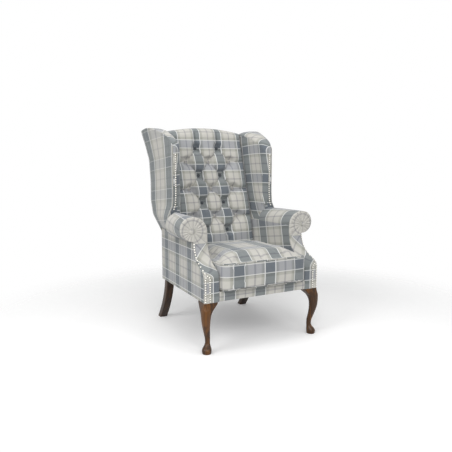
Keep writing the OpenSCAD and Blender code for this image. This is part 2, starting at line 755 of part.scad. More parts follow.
// Padded inner face of a wing with its rounded front and top edges, hollow over the timber.
// Columns are a distance behind the front edge and a share of the depth behind that; rows are a
// share of the height, or a distance below the top edge.
wing_columns = [
    [0, 0], [0.1, 0], [0.27, 0], [0.47, 0], [0.68, 0], [0.75, 0], [0.96, 0], [1.02, 0], [1.02, 0.2],
    [1.02, 0.4], [1.02, 0.6], [1.02, 0.8], [1.02, 1]
];
wing_rows = [
    [0, wing_solid_share], [0.1, wing_solid_share], [0.3, wing_solid_share], [0.55, wing_solid_share],
    [0.78, wing_solid_share], [1, wing_solid_share], [1, 0.98], [1, 0.68], [1, 0.45],
    [1, 0.25], [1, 0.1], [1, 0]
];
// Number of the solid columns, which stand on the roll, and of the rows that are hollow behind them
roll_columns = 5;
hollow_rows = 6;
// Places across the underside, where it follows the round of the roll
under_shares = [2 / 3, 1 / 3];
wing_gap = 1.5;
function wing_swell(d) = sqrt(1 - pow(1 - clamp(d / wing_edge_r, 0, 1), 2));

module inside_wing(side) {
    n = len(wing_columns);
    m = len(wing_rows);
    function rear_y(i, z) = plane_y(z) + (i < hollow_rows ? pad_d : back_t - panel_t - fit);
    function depth(i, j, z) =
        let (c = wing_columns[j], front = wing_y + c[0] * wing_edge_r) mix(front, rear_y(i, z), c[1]);
    function foot(j, x) =
        j < roll_columns ? roll_top(x, depth(0, j, arm_h)) + 5 * fit : arm_rail_top + 2 * fit;
    function height(i, j, x) =
        let (
            r = wing_rows[i], y = depth(i, j, wing_h - wing_edge_r), top = wing_top(y),
            low = top - wing_edge_r * r[1]
        )
            r[0] < 1 ? mix(foot(j, x), low, r[0]) : low;
    function skin(i, j) =
        let (
            z0 = height(i, j, wing_wood_x - wing_timber_t), y0 = depth(i, j, z0),
            swell = wing_swell(y0 - wing_y) * wing_swell(wing_top(y0) - z0),
            x = mix(wing_out_x(y0, z0) - panel_t - wing_gap - wing_lip, wing_in_x(y0, z0), swell),
            z = height(i, j, x), y = depth(i, j, z)
        )
            [x, y, z];
    function cavity(i, j) =
        let (
            p = skin(i, j), hollow = i < hollow_rows && j >= roll_columns,
            x = hollow ? wing_wood_x - wing_timber_t - fit :
                wing_out_x(p[1], height(i, j, half_w)) - panel_t - wing_gap,
            z = height(i, j, x), y = depth(i, j, z)
        )
            [x, y, z];
    function under(s, j) =
        let (p = skin(0, j), x = mix(p[0], cavity(0, j)[0], s)) [x, p[1], foot(j, x)];
    color(PLAID) on_side(side) thick_sheet(
        concat(
            [for (s = under_shares) [for (j = [n - 1 : -1 : 0]) under(s, j)]],
            [for (i = [0 : m - 1]) [for (j = [n - 1 : -1 : 0]) skin(i, j)]]
        ),
        concat(
            [for (t = [0, 1 / 3, 2 / 3]) [for (j = [n - 1 : -1 : 0]) mix(cavity(0, j), cavity(1, j), t)]],
            [for (i = [1 : m - 1]) [for (j = [n - 1 : -1 : 0]) cavity(i, j)]]
        )
    );
}

// Outside panel of a wing, which bulges over the end of the roll and flares at the top
module outside_wing(side) {
    rows = [0, 0.035, 0.08, 0.14, 0.19, 0.24, 0.3, 0.4, 0.52, 0.64, 0.76, 0.86, 0.94, 1];
    columns = [0, 0.09, 0.273, 0.455, 0.636, 0.818, 1];
    low = arm_rail_z + fit;
    function depth(z, t) = mix(wing_y + fit, plane_y(max(z, bend_z)) + back_t - panel_t - fit, t);
    function point(s, t, inset) =
        let (
            top = wing_top(depth(wing_h - wing_edge_r, t)) - fit, z = mix(low, top, s), y = depth(z, t)
        )
            [wing_out_x(y, z) - inset, y, z];
    color(PLAID) on_side(side) thick_sheet(
        [for (s = rows) [for (t = columns) point(s, t, 0)]],
        [for (s = rows) [for (t = columns) point(s, t, panel_t)]]
    );
}

// Buttons of the back: two in every other row, three in the rows between
function row_z(k) = top_button_h - k * button_dz;
low_row_z = row_z(button_rows - 1);
buttons = [
    for (k = [0 : button_rows - 1]) for (x = k % 2 == 0 ? [-1, 1] : [-2, 0, 2]) [x * button_dx, row_z(k)]
];
pad_foot_z = deck_top + fit;
// Pleats as [from, to, 1 where a button holds both ends and 0 where the far end is open]
pleats = concat(
    [
        for (k = [0 : 2 : button_rows - 1]) for (x = [-1, 1]) for (dx = [-1, 1]) for (dk = [-1, 1])
            if (k + dk >= 0 && k + dk < button_rows)
                [[x * button_dx, row_z(k)], [(x + dx) * button_dx, row_z(k + dk)], 1]
    ],
    [for (x = [-1, 1]) [[x * button_dx, row_z(0)], [x * button_dx, chair_h], 0]],
    [for (x = [-1, 1]) [[x * button_dx, low_row_z], [x * button_dx, pad_foot_z], 0]],
    [
        for (k = [1 : 2 : button_rows - 1]) for (x = [-1, 1])
            [[2 * x * button_dx, row_z(k)], [x * back_half, row_z(k)], 0]
    ]
);
pillow_r = button_dx * button_dz / norm([button_dx, button_dz]);
// Height of the pillows above the foot of the pad, as shares of the way to the lowest buttons
pillow_shares = [[0, 0.14], [0.35, 0.4], [0.65, 0.68], [1, 1]];
edge_share = 0.35;
pleat_share = 0.8;
function swell(t) = sqrt(1 - pow(1 - clamp(t, 0, 1), 2));
// Where a point lies against a pleat: its distance, and its share along it
function along(p, a, b) =
    let (t = clamp((p - a) * (b - a) / ((b - a) * (b - a)), 0, 1)) [norm(p - mix(a, b, t)), t];
function pleat_floor(t, closed) = pleat_h * (closed ? sin(180 * t) : sin(90 * min(1, 3 * t)));
// Rise of the padded back over the button plane at a point of the plane
function tuft(x, z) =
    let (
        p = [x, z], full = tuft_h * lookup((z - pad_foot_z) / (low_row_z - pad_foot_z), pillow_shares),
        rise = min([
            for (v = pleats)
                let (q = along(p, v[0], v[1]), f = min(pleat_floor(q[1], v[2] == 1), full * pleat_share))
                    mix(f, full, swell(q[0] / pillow_r))
        ]),
        side = full * mix(edge_share, 1, swell((back_half - abs(x)) / (pillow_r / 2))),
        near = min([for (b = buttons) norm(p - b)])
    )
        min(rise, side) * ease(clamp((near - dimple_r) / (funnel_r - dimple_r), 0, 1));

// Padded, buttoned back, which rolls over the top rail to the outside back
module inside_back() {
    edge = back_half - fit;
    columns = concat([edge], [for (k = [12 : -1 : -12]) k * button_dx / 4], [-edge]);
    foot_shares = [0, 0.18, 0.38, 0.6, 0.8];
    lattice = 4 * (button_rows - 1);
    zs = concat(
        [for (s = foot_shares) mix(pad_foot_z, low_row_z, s)],
        [for (k = [0 : lattice]) low_row_z + k * button_dz / 4],
        [for (s = [1/3, 2/3, 1]) mix(top_button_h, post_top, s)]
    );
    turns = [25, 50, 75, 100, 130, 160];
    top = post_top + fit;
    rear_y = plane_y(top) + back_t - panel_t - fit;
    mid = rear_y - (back_t - panel_t - fit + tuft_h) / 2;
    lining = [
        [rear_y, top], [plane_y(top) + pad_d, top], [plane_y(lumbar_h) + pad_d, lumbar_h],
        [plane_y(pad_foot_z) + pad_d, pad_foot_z]
    ];
    function column(x) = concat(
        [for (z = zs) [x, plane_y(z) - tuft(x, z), z]],
        [
            for (a = turns) let (
                start = plane_y(top) - tuft(x, post_top),
                front = mix(start, rear_y - (rear_y - mid) * 2, ease(min(1, a / 90))),
                reach = a < 90 ? mid - front : rear_y - mid
            )
                [x, mid - reach * cos(a), top + (crest_z(x) - top) * sin(a)]
        ],
        [for (p = lining) [x, p[0], p[1]]]
    );
    rings = [for (x = columns) column(x)];
    m = len(rings);
    n = len(rings[0]);
    nf = n - len(lining);
    low = len(foot_shares);
    // The diagonals of the faces follow the pleats between the buttons
    function crossed(i, j) =
        let (u = 12 - i, v = j - low, inside = i > 0 && i < m - 2 && v >= 0 && v < lattice)
            inside && (floor(u / 4) + floor(v / 4)) % 2 != 0;
    wall = [
        for (i = [0 : m - 2]) for (j = [0 : n - 1])
            let (a = i * n + j, b = i * n + (j + 1) % n, c = a + n, d = b + n)
                for (f = crossed(i, j) ? [[a, c, b], [b, c, d]] : [[a, c, d], [a, d, b]]) f
    ];
    // Lining point that each front point is joined to across the pad's side
    function lined(i) =
        n - 1 - (i < low + lattice / 4 ? 0 : i < nf - len(turns) - 6 ? 1 : i < nf - 4 ? 2 : 3);
    cap = concat(
        [for (i = [0 : nf - 2]) [i, i + 1, lined(i)]],
        [for (i = [0 : nf - 2]) if (lined(i + 1) != lined(i)) [i + 1, lined(i + 1), lined(i)]]
    );
    last = (m - 1) * n;
    color(PLAID) placed() polyhedron(
        [for (r = rings) for (p = r) p],
        concat(wall, cap, [for (f = cap) [f[0] + last, f[2] + last, f[1] + last]])
    );
}

// Covered buttons, domed in front, each on a short shank that its twine pulls into a dimple of the back.
// Profile above the underside, as shares of the radius and of the dome's height
button_seat_share = 0.56;
shank_share = 0.15;
dome_shares = [[0.85, 0], [1, 0.25], [0.93, 0.55], [0.7, 0.8], [0.38, 0.95], [0, 1]];

module back_buttons() {
    r = button_d / 2;
    seat = button_h * button_seat_share;
    outline = concat(
        [[0, fit], [shank_share * r, fit], [shank_share * r, seat]],
        [for (s = dome_shares) [s[0] * r, seat + s[1] * button_h]]
    );
    color(PLAID_DARK) placed() for (b = buttons)
        translate([b[0], plane_y(b[1]), b[1]]) rotate([90 - back_lean, 0, 0])
            rotate_extrude($fn = 32) polygon(outline);
}

// Strip that leans with the back between two heights, at a depth behind the buttons
module back_layer(x0, x1, z0, z1, depth, t) {
    side_board([
        [plane_y(z0) + depth, z0], [plane_y(z0) + depth + t, z0], [plane_y(z1) + depth + t, z1],
        [plane_y(z1) + depth, z1]
    ], x0, x1);
}
layer_gap = 2 * fit / 3;
back_low_z = tack_rail_z;

module back_hessian() {
    color(HESSIAN) placed() back_layer(
        -post_in - over, post_in + over, back_low_z, post_top, pad_d + layer_gap, hessian_t
    );
}

// Spacing of the upright bands in widths of the webbing
web_step = 2.1;

module back_webbing() {
    upright = pad_d + hessian_t + 2 * layer_gap;
    level = upright + web_t + layer_gap;
    reach = side_x(timber_in, base_d) - fit;
    color(BLACK_CLOTH) placed() {
        for (k = [-1.5 : 1 : 1.5])
            let (x = web_step * k * web_w)
                back_layer(x - web_w / 2, x + web_w / 2, back_low_z, post_top, upright, web_t);
        for (k = [1 : 5])
            let (z = mix(back_low_z, post_top, k / 6))
                back_layer(-reach, reach, z - web_w / 2, z + web_w / 2, level, web_t);
    }
}

// Outside back: upright below, leaning above, with the flared outline of the wings
module outside_back() {
    top = chair_h - back_seam_drop;
    edge_zs = [for (s = back_edge_shares) if (s[0] < 0.95) mix(base_h, wing_h, s[0])];
    corner_z = wing_top(wing_rear_y) - back_seam_drop / 2;
    right = concat(
        [for (z = edge_zs) [back_edge_x(z), z]], [[back_edge_x(corner_z), corner_z]],
        [for (s = [1, 0.8, 0.6, 0.4, 0.2]) [s * back_half, crest_z(s * back_half) - back_seam_drop]]
    );
    outline = concat(
        right, [[0, top]], [for (k = [len(right) - 1 : -1 : 0]) [-right[k][0], right[k][1]]]
    );
    color(PLAID) placed() intersection() {
        side_board([
            [base_d - panel_t, base_h], [base_d, base_h], [base_d, bend_z],
            [plane_y(chair_h) + back_t, chair_h],
            [plane_y(chair_h) + back_t - panel_t, chair_h], [base_d - panel_t, bend_z]
        ], -base_w, base_w);
        translate([0, rear_most + over, 0]) rotate([90, 0, 0]) linear_extrude(rear_most) polygon(outline);
    }
}

// Loose cushion

cushion_y0 = -cushion_overhang;
cushion_y1 = cushion_y0 + cushion_d;
low_seam_z = cushion_z + 2 * groove_h;
zip_z = (low_seam_z + seam_z) / 2;
cushion_draw = 3;
side_steps = 5;
function cushion_x(y) = inner_x(y) - cushion_gap;
// Corner centres and the direction in which each corner starts, counter-clockwise from the front right
cushion_corners = [
    [[cushion_x(cushion_y0 + cushion_r) - cushion_r, cushion_y0 + cushion_r], -90],
    [[cushion_x(cushion_y1 - cushion_r) - cushion_r, cushion_y1 - cushion_r], 0],
    [[cushion_r - cushion_x(cushion_y1 - cushion_r), cushion_y1 - cushion_r], 90],
    [[cushion_r - cushion_x(cushion_y0 + cushion_r), cushion_y0 + cushion_r], 180]
];
function dir(a) = [cos(a), sin(a)];
// Points of the seam with their outward directions: round corners and slightly drawn-in sides
cushion_path = [
    for (k = [0 : 3])
        let (c = cushion_corners[k], d = cushion_corners[(k + 1) % 4], end = c[1] + 90) each concat(
            [for (a = [0 : 18 : 90]) [c[0] + cushion_r * dir(c[1] + a), dir(c[1] + a)]],
            [
                for (s = [1 : side_steps - 1])
                    let (t = s / side_steps, draw = k == 1 ? 0 : cushion_draw * sin(180 * t))
                        [mix(c[0], d[0], t) + (cushion_r - draw) * dir(end), dir(end)]
            ]
        )
];
function cushion_ring(out, bulge, z) =
    [for (q = cushion_path) let (p = q[0] + (out + bulge * (1 - q[1][1]) / 2) * q[1]) [p[0], p[1], z]];
function cushion_dome(s, z) =
    [for (q = cushion_path) let (p = mix([0, (cushion_y0 + cushion_y1) / 2], q[0], s)) [p[0], p[1], z]];

// Boxed cushion with a crown, a bulging border and a groove for each row of piping
module seat_cushion() {
    lip = groove_h;
    rings = concat(
        [cushion_dome(0.9, cushion_z), cushion_ring(-groove_h, 0, cushion_z + groove_h / 5)],
        [cushion_ring(0, 0, low_seam_z - groove_h), cushion_ring(-groove_d, 0, low_seam_z)],
        [cushion_ring(0, 0, low_seam_z + groove_h)],
        [
            for (s = [[0.25, 0.7], [0.5, 1], [0.76, 0.75]])
                cushion_ring(0, s[1] * cushion_bulge, mix(low_seam_z, seam_z, s[0]))
        ],
        [cushion_ring(0, 0, seam_z - groove_h), cushion_ring(-groove_d, 0, seam_z)],
        [cushion_ring(0, 0, seam_z + lip)],
        [
            for (s = [0.93, 0.82, 0.66, 0.46, 0.24])
                cushion_dome(s, seam_z + lip + (crown_h - lip) * (1 - pow(s, 2.5)))
        ]
    );
    m = len(rings);
    n = len(rings[0]);
    mid = (cushion_y0 + cushion_y1) / 2;
    points = concat([for (r = rings) for (p = r) p], [[0, mid, cushion_z], [0, mid, seam_z + crown_h]]);
    foot = [for (j = [0 : n - 1]) [j, (j + 1) % n, m * n]];
    head = [for (j = [0 : n - 1]) [(m - 1) * n + (j + 1) % n, (m - 1) * n + j, m * n + 1]];
    color(PLAID) placed() polyhedron(points, concat(wall_faces(m, n, true), foot, head));
}

// Piped cord round a seam of the cushion
module piping(z) {
    sides = 6;
    m = len(cushion_path);
    points = [
        for (q = cushion_path) for (j = [0 : sides - 1])
            let (a = -360 * j / sides, p = q[0] + piping_d / 2 * cos(a) * q[1])
                [p[0], p[1], z + piping_d / 2 * sin(a)]
    ];
    faces = [
        for (i = [0 : m - 1]) for (j = [0 : sides - 1])
            let (
                k = (i + 1) % m, next = (j + 1) % sides,
                a = i * sides + j, b = i * sides + next, c = k * sides + j, d = k * sides + next
            )
                for (f = [[a, c, d], [a, d, b]]) f
    ];
    color(PLAID_DARK) placed() polyhedron(points, faces);
}

module cushion_piping_top() {
    piping(seam_z);
}

module cushion_piping_bottom() {
    piping(low_seam_z);
}

// Zip in the cushion's rear border, and its slider with the pull
chain_y = cushion_y1 + fit + tape_t;

module cushion_zip() {
    color(BLACK_CLOTH) placed() side_board([
        [cushion_y1 + fit, zip_z - tape_w / 2], [chain_y, zip_z - tape_w / 2],
        [chain_y, zip_z - chain_w / 2],
        [chain_y + chain_t, zip_z - chain_w / 2], [chain_y + chain_t, zip_z + chain_w / 2],
        [chain_y, zip_z + chain_w / 2], [chain_y, zip_z + tape_w / 2], [cushion_y1 + fit, zip_z + tape_w / 2]
    ], -zip_l / 2, zip_l / 2);
}

module zip_slider() {
    gap = chain_w / 2 + fit;
    face = chain_y + chain_t + fit;
    x = -zip_l / 2 + slider_l / 2;
    color(ZIP_METAL) placed() {
        side_board([
            [chain_y + fit, zip_z - gap], [face, zip_z - gap], [face, zip_z + gap],
            [chain_y + fit, zip_z + gap],
            [chain_y + fit, zip_z + gap + slider_wall], [face + slider_wall, zip_z + gap + slider_wall / 2],
            [face + slider_wall, zip_z - gap - slider_wall / 2], [chain_y + fit, zip_z - gap - slider_wall]
        ], x, x + slider_l);
        translate([x + (slider_l - pull_w) / 2, face + slider_wall - pull_t, zip_z - pull_l])
            cube([pull_w, pull_t, pull_l]);
    }
}

front_seat_rail();
back_seat_rail();
side_seat_rail(-1);  // side_seat_rail_left
side_seat_rail(1);  // side_seat_rail_right
corner_blocks();
arm_stump(-1);  // arm_stump_left
arm_stump(1);  // arm_stump_right
arm_rail(-1);  // arm_rail_left
arm_rail(1);  // arm_rail_right
back_post(-1);  // back_post_left
back_post(1);  // back_post_right
top_rail();
back_tack_rail();
wing_post(-1);  // wing_post_left
wing_post(1);  // wing_post_right
wing_rail(-1);  // wing_rail_left
wing_rail(1);  // wing_rail_right
front_leg(-1);  // front_leg_left
front_leg(1);  // front_leg_right
leg_bolts();
seat_springs();
spring_clips();
seat_felt();
seat_deck();
front_border();
back_webbing();
back_hessian();
arm_hessian(-1);  // arm_hessian_left
arm_hessian(1);  // arm_hessian_right
inside_arm(-1);  // inside_arm_left
inside_arm(1);  // inside_arm_right
arm_facing(-1);  // arm_facing_left
arm_facing(1);  // arm_facing_right
outside_arm(-1);  // outside_arm_left
outside_arm(1);  // outside_arm_right
inside_wing(-1);  // inside_wing_left
inside_wing(1);  // inside_wing_right
outside_wing(-1);  // outside_wing_left
outside_wing(1);  // outside_wing_right
inside_back();
back_buttons();
outside_back();
bottom_dust_cover();
seat_cushion();
cushion_piping_top();
cushion_piping_bottom();
cushion_zip();
zip_slider();
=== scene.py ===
# %% [markdown]
# # A fireside chair in a plaid cloth
# The chair's timbers, springs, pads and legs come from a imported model, which holds every size. This
# file gives each of them the look of the real thing: soft covers worked out as surfaces, a woven
# plaid, polished wood, nail heads and the light of a photo studio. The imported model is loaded
# first, because everything below is placed in its frame, in metres.

import bpy
import numpy as np
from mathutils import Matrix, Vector
from mathutils.bvhtree import BVHTree


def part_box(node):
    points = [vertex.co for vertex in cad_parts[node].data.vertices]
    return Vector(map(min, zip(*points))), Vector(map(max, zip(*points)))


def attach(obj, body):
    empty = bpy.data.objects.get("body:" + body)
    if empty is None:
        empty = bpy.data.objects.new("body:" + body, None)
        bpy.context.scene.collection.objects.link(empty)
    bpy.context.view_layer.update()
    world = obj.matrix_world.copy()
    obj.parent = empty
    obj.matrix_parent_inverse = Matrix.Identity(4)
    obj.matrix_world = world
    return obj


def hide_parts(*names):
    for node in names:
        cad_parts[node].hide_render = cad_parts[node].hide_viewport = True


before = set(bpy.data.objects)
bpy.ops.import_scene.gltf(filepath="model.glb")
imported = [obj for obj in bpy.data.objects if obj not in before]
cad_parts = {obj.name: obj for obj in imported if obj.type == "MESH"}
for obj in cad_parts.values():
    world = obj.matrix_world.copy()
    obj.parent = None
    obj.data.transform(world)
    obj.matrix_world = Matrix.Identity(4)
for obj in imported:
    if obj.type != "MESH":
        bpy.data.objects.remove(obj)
scene = bpy.context.scene


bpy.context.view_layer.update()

# %% [markdown]
# ## Writing materials as sums
# Blender's materials are graphs of nodes. To write "1 - mask" instead of placing a node and two
# links by hand, a small class stands for one socket and turns Python's operators into Math nodes.
# A second class stands for a material and has a single method that adds any other node.

# %% A socket that can be reckoned with
def operator(operation, turned=False):
    """A method that adds the Math node of an operation; turned puts the other value first."""

    def method(wire, *others):
        values = (*others, wire) if turned else (wire, *others)
        return wire.finish.node("ShaderNodeMath", {"operation": operation}, values)

    return method


class Wire:
    """One output socket of a finish's nodes. An operator adds the Math node that works it out."""

    def __init__(self, finish, socket):
        self.finish, self.socket = finish, socket

    __add__ = __radd__ = operator("ADD")
    __mul__ = __rmul__ = operator("MULTIPLY")
    __sub__, __rsub__ = operator("SUBTRACT"), operator("SUBTRACT", turned=True)
    __truediv__, __pow__, __abs__ = operator("DIVIDE"), operator("POWER"), operator("ABSOLUTE")
    sin, fract, highest = operator("SINE"), operator("FRACT"), operator("MAXIMUM")

    def ramp_from(self, low, high):
        """0 below low, 1 above high and a smooth slope between them."""
        settings = {"interpolation_type": "SMOOTHSTEP"}
        return self.finish.node("ShaderNodeMapRange", settings, {0: self, 1: low, 2: high})


# %% A finish, node by node
MIX_LOW, MIX_HIGH, MIX_OUT, OBJECT_PLACE = 6, 7, 2, 3


class Finish:
    """A material whose nodes are added one by one with node()."""

    def __init__(self, name):
        self.material = bpy.data.materials.new(name)
        self.material.use_nodes = True
        self.tree = self.material.node_tree
        self.tree.nodes.clear()

    def node(self, kind, settings=None, values=(), out=0):
        """Adds a node of that kind, sets its settings and its sockets, and returns a wire."""
        made = self.tree.nodes.new(kind)
        for key, value in (settings or {}).items():
            if key == "stops":
                self.set_stops(made.color_ramp, value)
            else:
                setattr(made, key, value)
        pairs = values.items() if isinstance(values, dict) else enumerate(values)
        for key, value in pairs:
            if isinstance(value, Wire):
                self.tree.links.new(value.socket, made.inputs[key])
            else:
                made.inputs[key].default_value = value
        return Wire(self, made.outputs[out]) if len(made.outputs) else made

    @staticmethod
    def set_stops(ramp, stops):
        """Gives a colour ramp its stops: a place from 0 to 1 and a colour for each."""
        while len(ramp.elements) < len(stops):
            ramp.elements.new(1.0)
        for element, (place, colour) in zip(ramp.elements, stops):
            element.position = place
            element.color = (*colour, 1.0)

    def mix(self, factor, low, high, how="MIX"):
        """Blends two colours; how is a blend type such as MULTIPLY."""
        low, high = (c if isinstance(c, Wire) else (*c, 1.0) for c in (low, high))
        settings = {"data_type": "RGBA", "blend_type": how}
        values = {0: factor, MIX_LOW: low, MIX_HIGH: high}
        return self.node("ShaderNodeMix", settings, values, MIX_OUT)

    def dimmed(self, colour, shade):
        """A colour times one number."""
        grey = self.node("ShaderNodeCombineXYZ", None, [shade, shade, shade])
        return self.mix(1.0, colour, grey, how="MULTIPLY")

    def xyz(self, source):
        """The three parts of a vector as wires."""
        node = self.node("ShaderNodeSeparateXYZ", None, [source]).socket.node
        return [Wire(self, output) for output in node.outputs]

    def stretched(self, where, factors):
        """A place stretched by a factor in each direction."""
        return self.node("ShaderNodeVectorMath", {"operation": "MULTIPLY"}, [where, factors])

    def place(self):
        """The point in metres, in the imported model's frame."""
        return self.node("ShaderNodeTexCoord", None, out=OBJECT_PLACE)

    def cloth_place(self):
        """Where the point lies on the flat cloth, in metres, from the piece's own UV map."""
        return self.node("ShaderNodeUVMap", {"uv_map": "cloth"})

    def noise(self, where, scale, detail=2.0, rough=0.5):
        values = {"Vector": where, "Scale": scale, "Detail": detail, "Roughness": rough}
        return self.node("ShaderNodeTexNoise", None, values)

    def ramp(self, at, stops):
        return self.node("ShaderNodeValToRGB", {"stops": stops}, [at])

    def bump(self, height, distance, strength=1.0):
        values = {"Height": height, "Distance": distance, "Strength": strength}
        return self.node("ShaderNodeBump", None, values)

    def shade(self, **sockets):
        """Ends the nodes in the shader: names are its sockets in lower case with _ for a space."""
        plain = {name.replace("_", " ").title(): value for name, value in sockets.items()}
        values = {name.replace("Ior", "IOR"): value for name, value in plain.items()}
        shader = self.node("ShaderNodeBsdfPrincipled", None, values)
        self.node("ShaderNodeOutputMaterial", None, [shader])
        return self.material


print("classes: Wire and Finish")

# %% [markdown]
# ## Surfaces from formulas
# Every new piece is a grid of points that a formula gives from two parameters. Working the whole
# grid out as one numpy array is quick, and the same arrays give the cloth its own flat coordinates,
# so that the plaid lies on the chair as a cutter would lay it. The sizes are those of the packed
# model, measured from the front corner of the seat and moved to the frame's origin in put().

# %% Sizes shared by the pieces, in metres
MID = 0.37273696
BASE_W, REAR_W, BASE_D, BASE_H = 0.674, 0.624, 0.607, 0.256
CHAIR_H, ARM_H, WING_H, WING_Y = 1.128, 0.658, 1.118, 0.420
LEAN, BUTTON_Y, LUMBAR_H, BACK_T = 0.29053, 0.570, 0.683, 0.080
PANEL, FACING, FIT, EDGE_R = 0.003, 0.010, 0.0003, 0.030
BACK_HALF, ARM_IN, HALF_W = 0.236, 0.255, 0.337
ROLL_IN, ROLL_OUT = (0.333, 0.580, 0.078), (0.345, 0.598, 0.060)
ARM_RAIL_Z, ARM_RAIL_T, ARM_SETBACK = 0.556, 0.028, 0.135
TAPER = (BASE_W - REAR_W) / 2 / BASE_D
IN_TAPER = (ARM_IN - BACK_HALF) / BUTTON_Y
PAD_D = 0.031
TO_FRAME = np.array([0.0, -MID, 0.0])


def mix(a, b, t):
    """The value a share t of the way from a to b."""
    return a + (b - a) * t


def ease(t):
    """An S-shaped rise from 0 to 1: three squares less two cubes."""
    t = np.clip(t, 0, 1)
    return t * t * (3 - 2 * t)


def bulge(t):
    """A quarter of a circle that rises from 0 at 0 to 1 at 1."""
    return np.sqrt(1 - (1 - np.clip(t, 0, 1)) ** 2)


def curve(pairs, at, soft=0.0):
    """The line through (place, value) pairs, averaged over a window of that half-width."""
    places, values = np.array(pairs, float).T
    shifts = np.linspace(-soft, soft, 9) if soft else [0.0]
    return np.mean([np.interp(at + shift, places, values) for shift in shifts], axis=0)


def plane_y(z):
    """Depth of the plane of the buttons, which leans back as it rises."""
    return BUTTON_Y + LEAN * (z - LUMBAR_H)


def box_of(node):
    """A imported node's lowest and highest corner, measured from the front corner of the seat."""
    return [np.array(corner, float) - TO_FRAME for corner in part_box(node)]


def grid_of(*parts):
    """Points or cloth coordinates from their parts, each spread over the whole grid."""
    return np.stack(np.broadcast_arrays(*parts), -1)


def shares(rows, columns, start=0.0):
    """Shares from 0 to 1 up the rows of a grid and from start to 1 along its columns."""
    return np.linspace(0, 1, rows)[:, None], np.linspace(start, 1, columns)[None, :]


def refine(pairs, steps):
    """Puts evenly spaced values between each pair of neighbours of a list of pairs."""
    pairs = np.array(pairs, float)
    at = np.linspace(0, len(pairs) - 1, (len(pairs) - 1) * steps + 1)
    return np.stack([np.interp(at, np.arange(len(pairs)), column) for column in pairs.T], -1), at


def arc_length(points, axis=0):
    """Running length along one axis of a grid of points, from 0 at its start."""
    steps = np.linalg.norm(np.diff(points, axis=axis), axis=-1)
    return np.insert(np.cumsum(steps, axis=axis), 0, 0.0, axis=axis)


# %% Grids become meshes
def net(rows, columns, loop=False):
    """The quads between neighbours of a grid kept row by row; with loop each row is closed."""
    i = np.arange(rows - 1)[:, None] * columns
    j = np.arange(columns if loop else columns - 1)[None, :]
    right = (j + 1) % columns
    return np.stack([i + j, i + right, i + columns + right, i + columns + j], -1).reshape(-1, 4)


def thick(face, rear):
    """A closed sheet between two grids. From outside rows climb and columns run to the right."""
    rows, columns = face.shape[:2]
    count = rows * columns
    front = net(rows, columns)
    whole = np.arange(count).reshape(rows, columns)
    rim = np.concatenate([whole[0], whole[1:, -1], whole[-1, -2::-1], whole[-2:0:-1, 0]])
    after = np.roll(rim, -1)
    sides = np.stack([after, rim, rim + count, after + count], -1)
    points = np.concatenate([face.reshape(-1, 3), rear.reshape(-1, 3)])
    return points, np.concatenate([front, front[:, ::-1] + count, sides])


def tube(rings):
    """A closed skin over rings, each anticlockwise seen from the last ring, with fan ends."""
    rows, columns = rings.shape[:2]
    ends = np.stack([rings[0].mean(0), rings[-1].mean(0)])
    points = np.concatenate([rings.reshape(-1, 3), ends])
    j = np.arange(columns)
    after, first, last = (j + 1) % columns, rows * columns, (rows - 1) * columns
    foot = np.stack([np.full(columns, first), after, j], -1)
    head = np.stack([np.full(columns, first + 1), last + j, last + after], -1)
    return points, [net(rows, columns, True), foot, head]


def put(
    name, points, faces, finish, cloth=None, stands_for=(), slot="plaid_fabric",
    body="chair_frame", sharp=60, fill=None,
):
    """Makes the mesh object, gives it its finish and cloth coordinates and sets it on its body.

    Cloth given as a grid serves both sides of a thick sheet. The fill is not used.
    """
    faces = faces if isinstance(faces, list) else [faces]
    mesh = bpy.data.meshes.new(name)
    placed = np.asarray(points, float) + TO_FRAME
    mesh.from_pydata(placed.tolist(), [], [f for group in faces for f in group.tolist()])
    mesh.shade_smooth()
    mesh.set_sharp_from_angle(angle=np.radians(sharp))
    if cloth is not None:
        cloth = np.tile(cloth.reshape(-1, 2), (2, 1)) if cloth.ndim == 3 else cloth
        corner = np.concatenate([group.ravel() for group in faces])
        flat = cloth[corner] if len(cloth) == len(points) else cloth
        layer = mesh.uv_layers.new(name="cloth")
        layer.data.foreach_set("uv", np.asarray(flat, np.float32).ravel())
    mesh.materials.append(finish)
    piece = bpy.data.objects.new(name, mesh)
    scene.collection.objects.link(piece)
    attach(piece, body)
    if stands_for:
        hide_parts(*stands_for)
    print(f"{name}: {len(points)} points, {sum(len(f) for f in faces)} faces")
    return piece


def put_pair(name, points, faces, finish, cloth=None, stands_for=None, fill=None, **more):
    """The right-hand piece and its mirror image, whose faces are turned to point outwards again.

    They stand for the two CAD nodes of that name. Its fill is not used.
    """
    faces = faces if isinstance(faces, list) else [faces]
    turned = [group[:, ::-1] for group in faces]
    pair = [
        put(
            f"{name}_{side}", points * [way, 1, 1], groups, finish, cloth,
            [f"{stands_for}_{side}"] if stands_for else [], **more
        )
        for side, way, groups in (("right", 1, faces), ("left", -1, turned))
    ]


print("helpers: thick, tube, put, put_pair")

# %% [markdown]
# ## The plaid
# The cloth is a soft wool plaid. Its warp and its weft carry the same order of stripes: a broad
# slate band between two white lines, a thin dark line and a soft taupe stripe beside each white
# one, and cream with a grey line down its middle. Where two bands cross, their colours multiply, as
# the yarns lie over each other, so one ramp for each direction gives the whole check. An image
# would be quicker to place, but a formula stays sharp at any size.

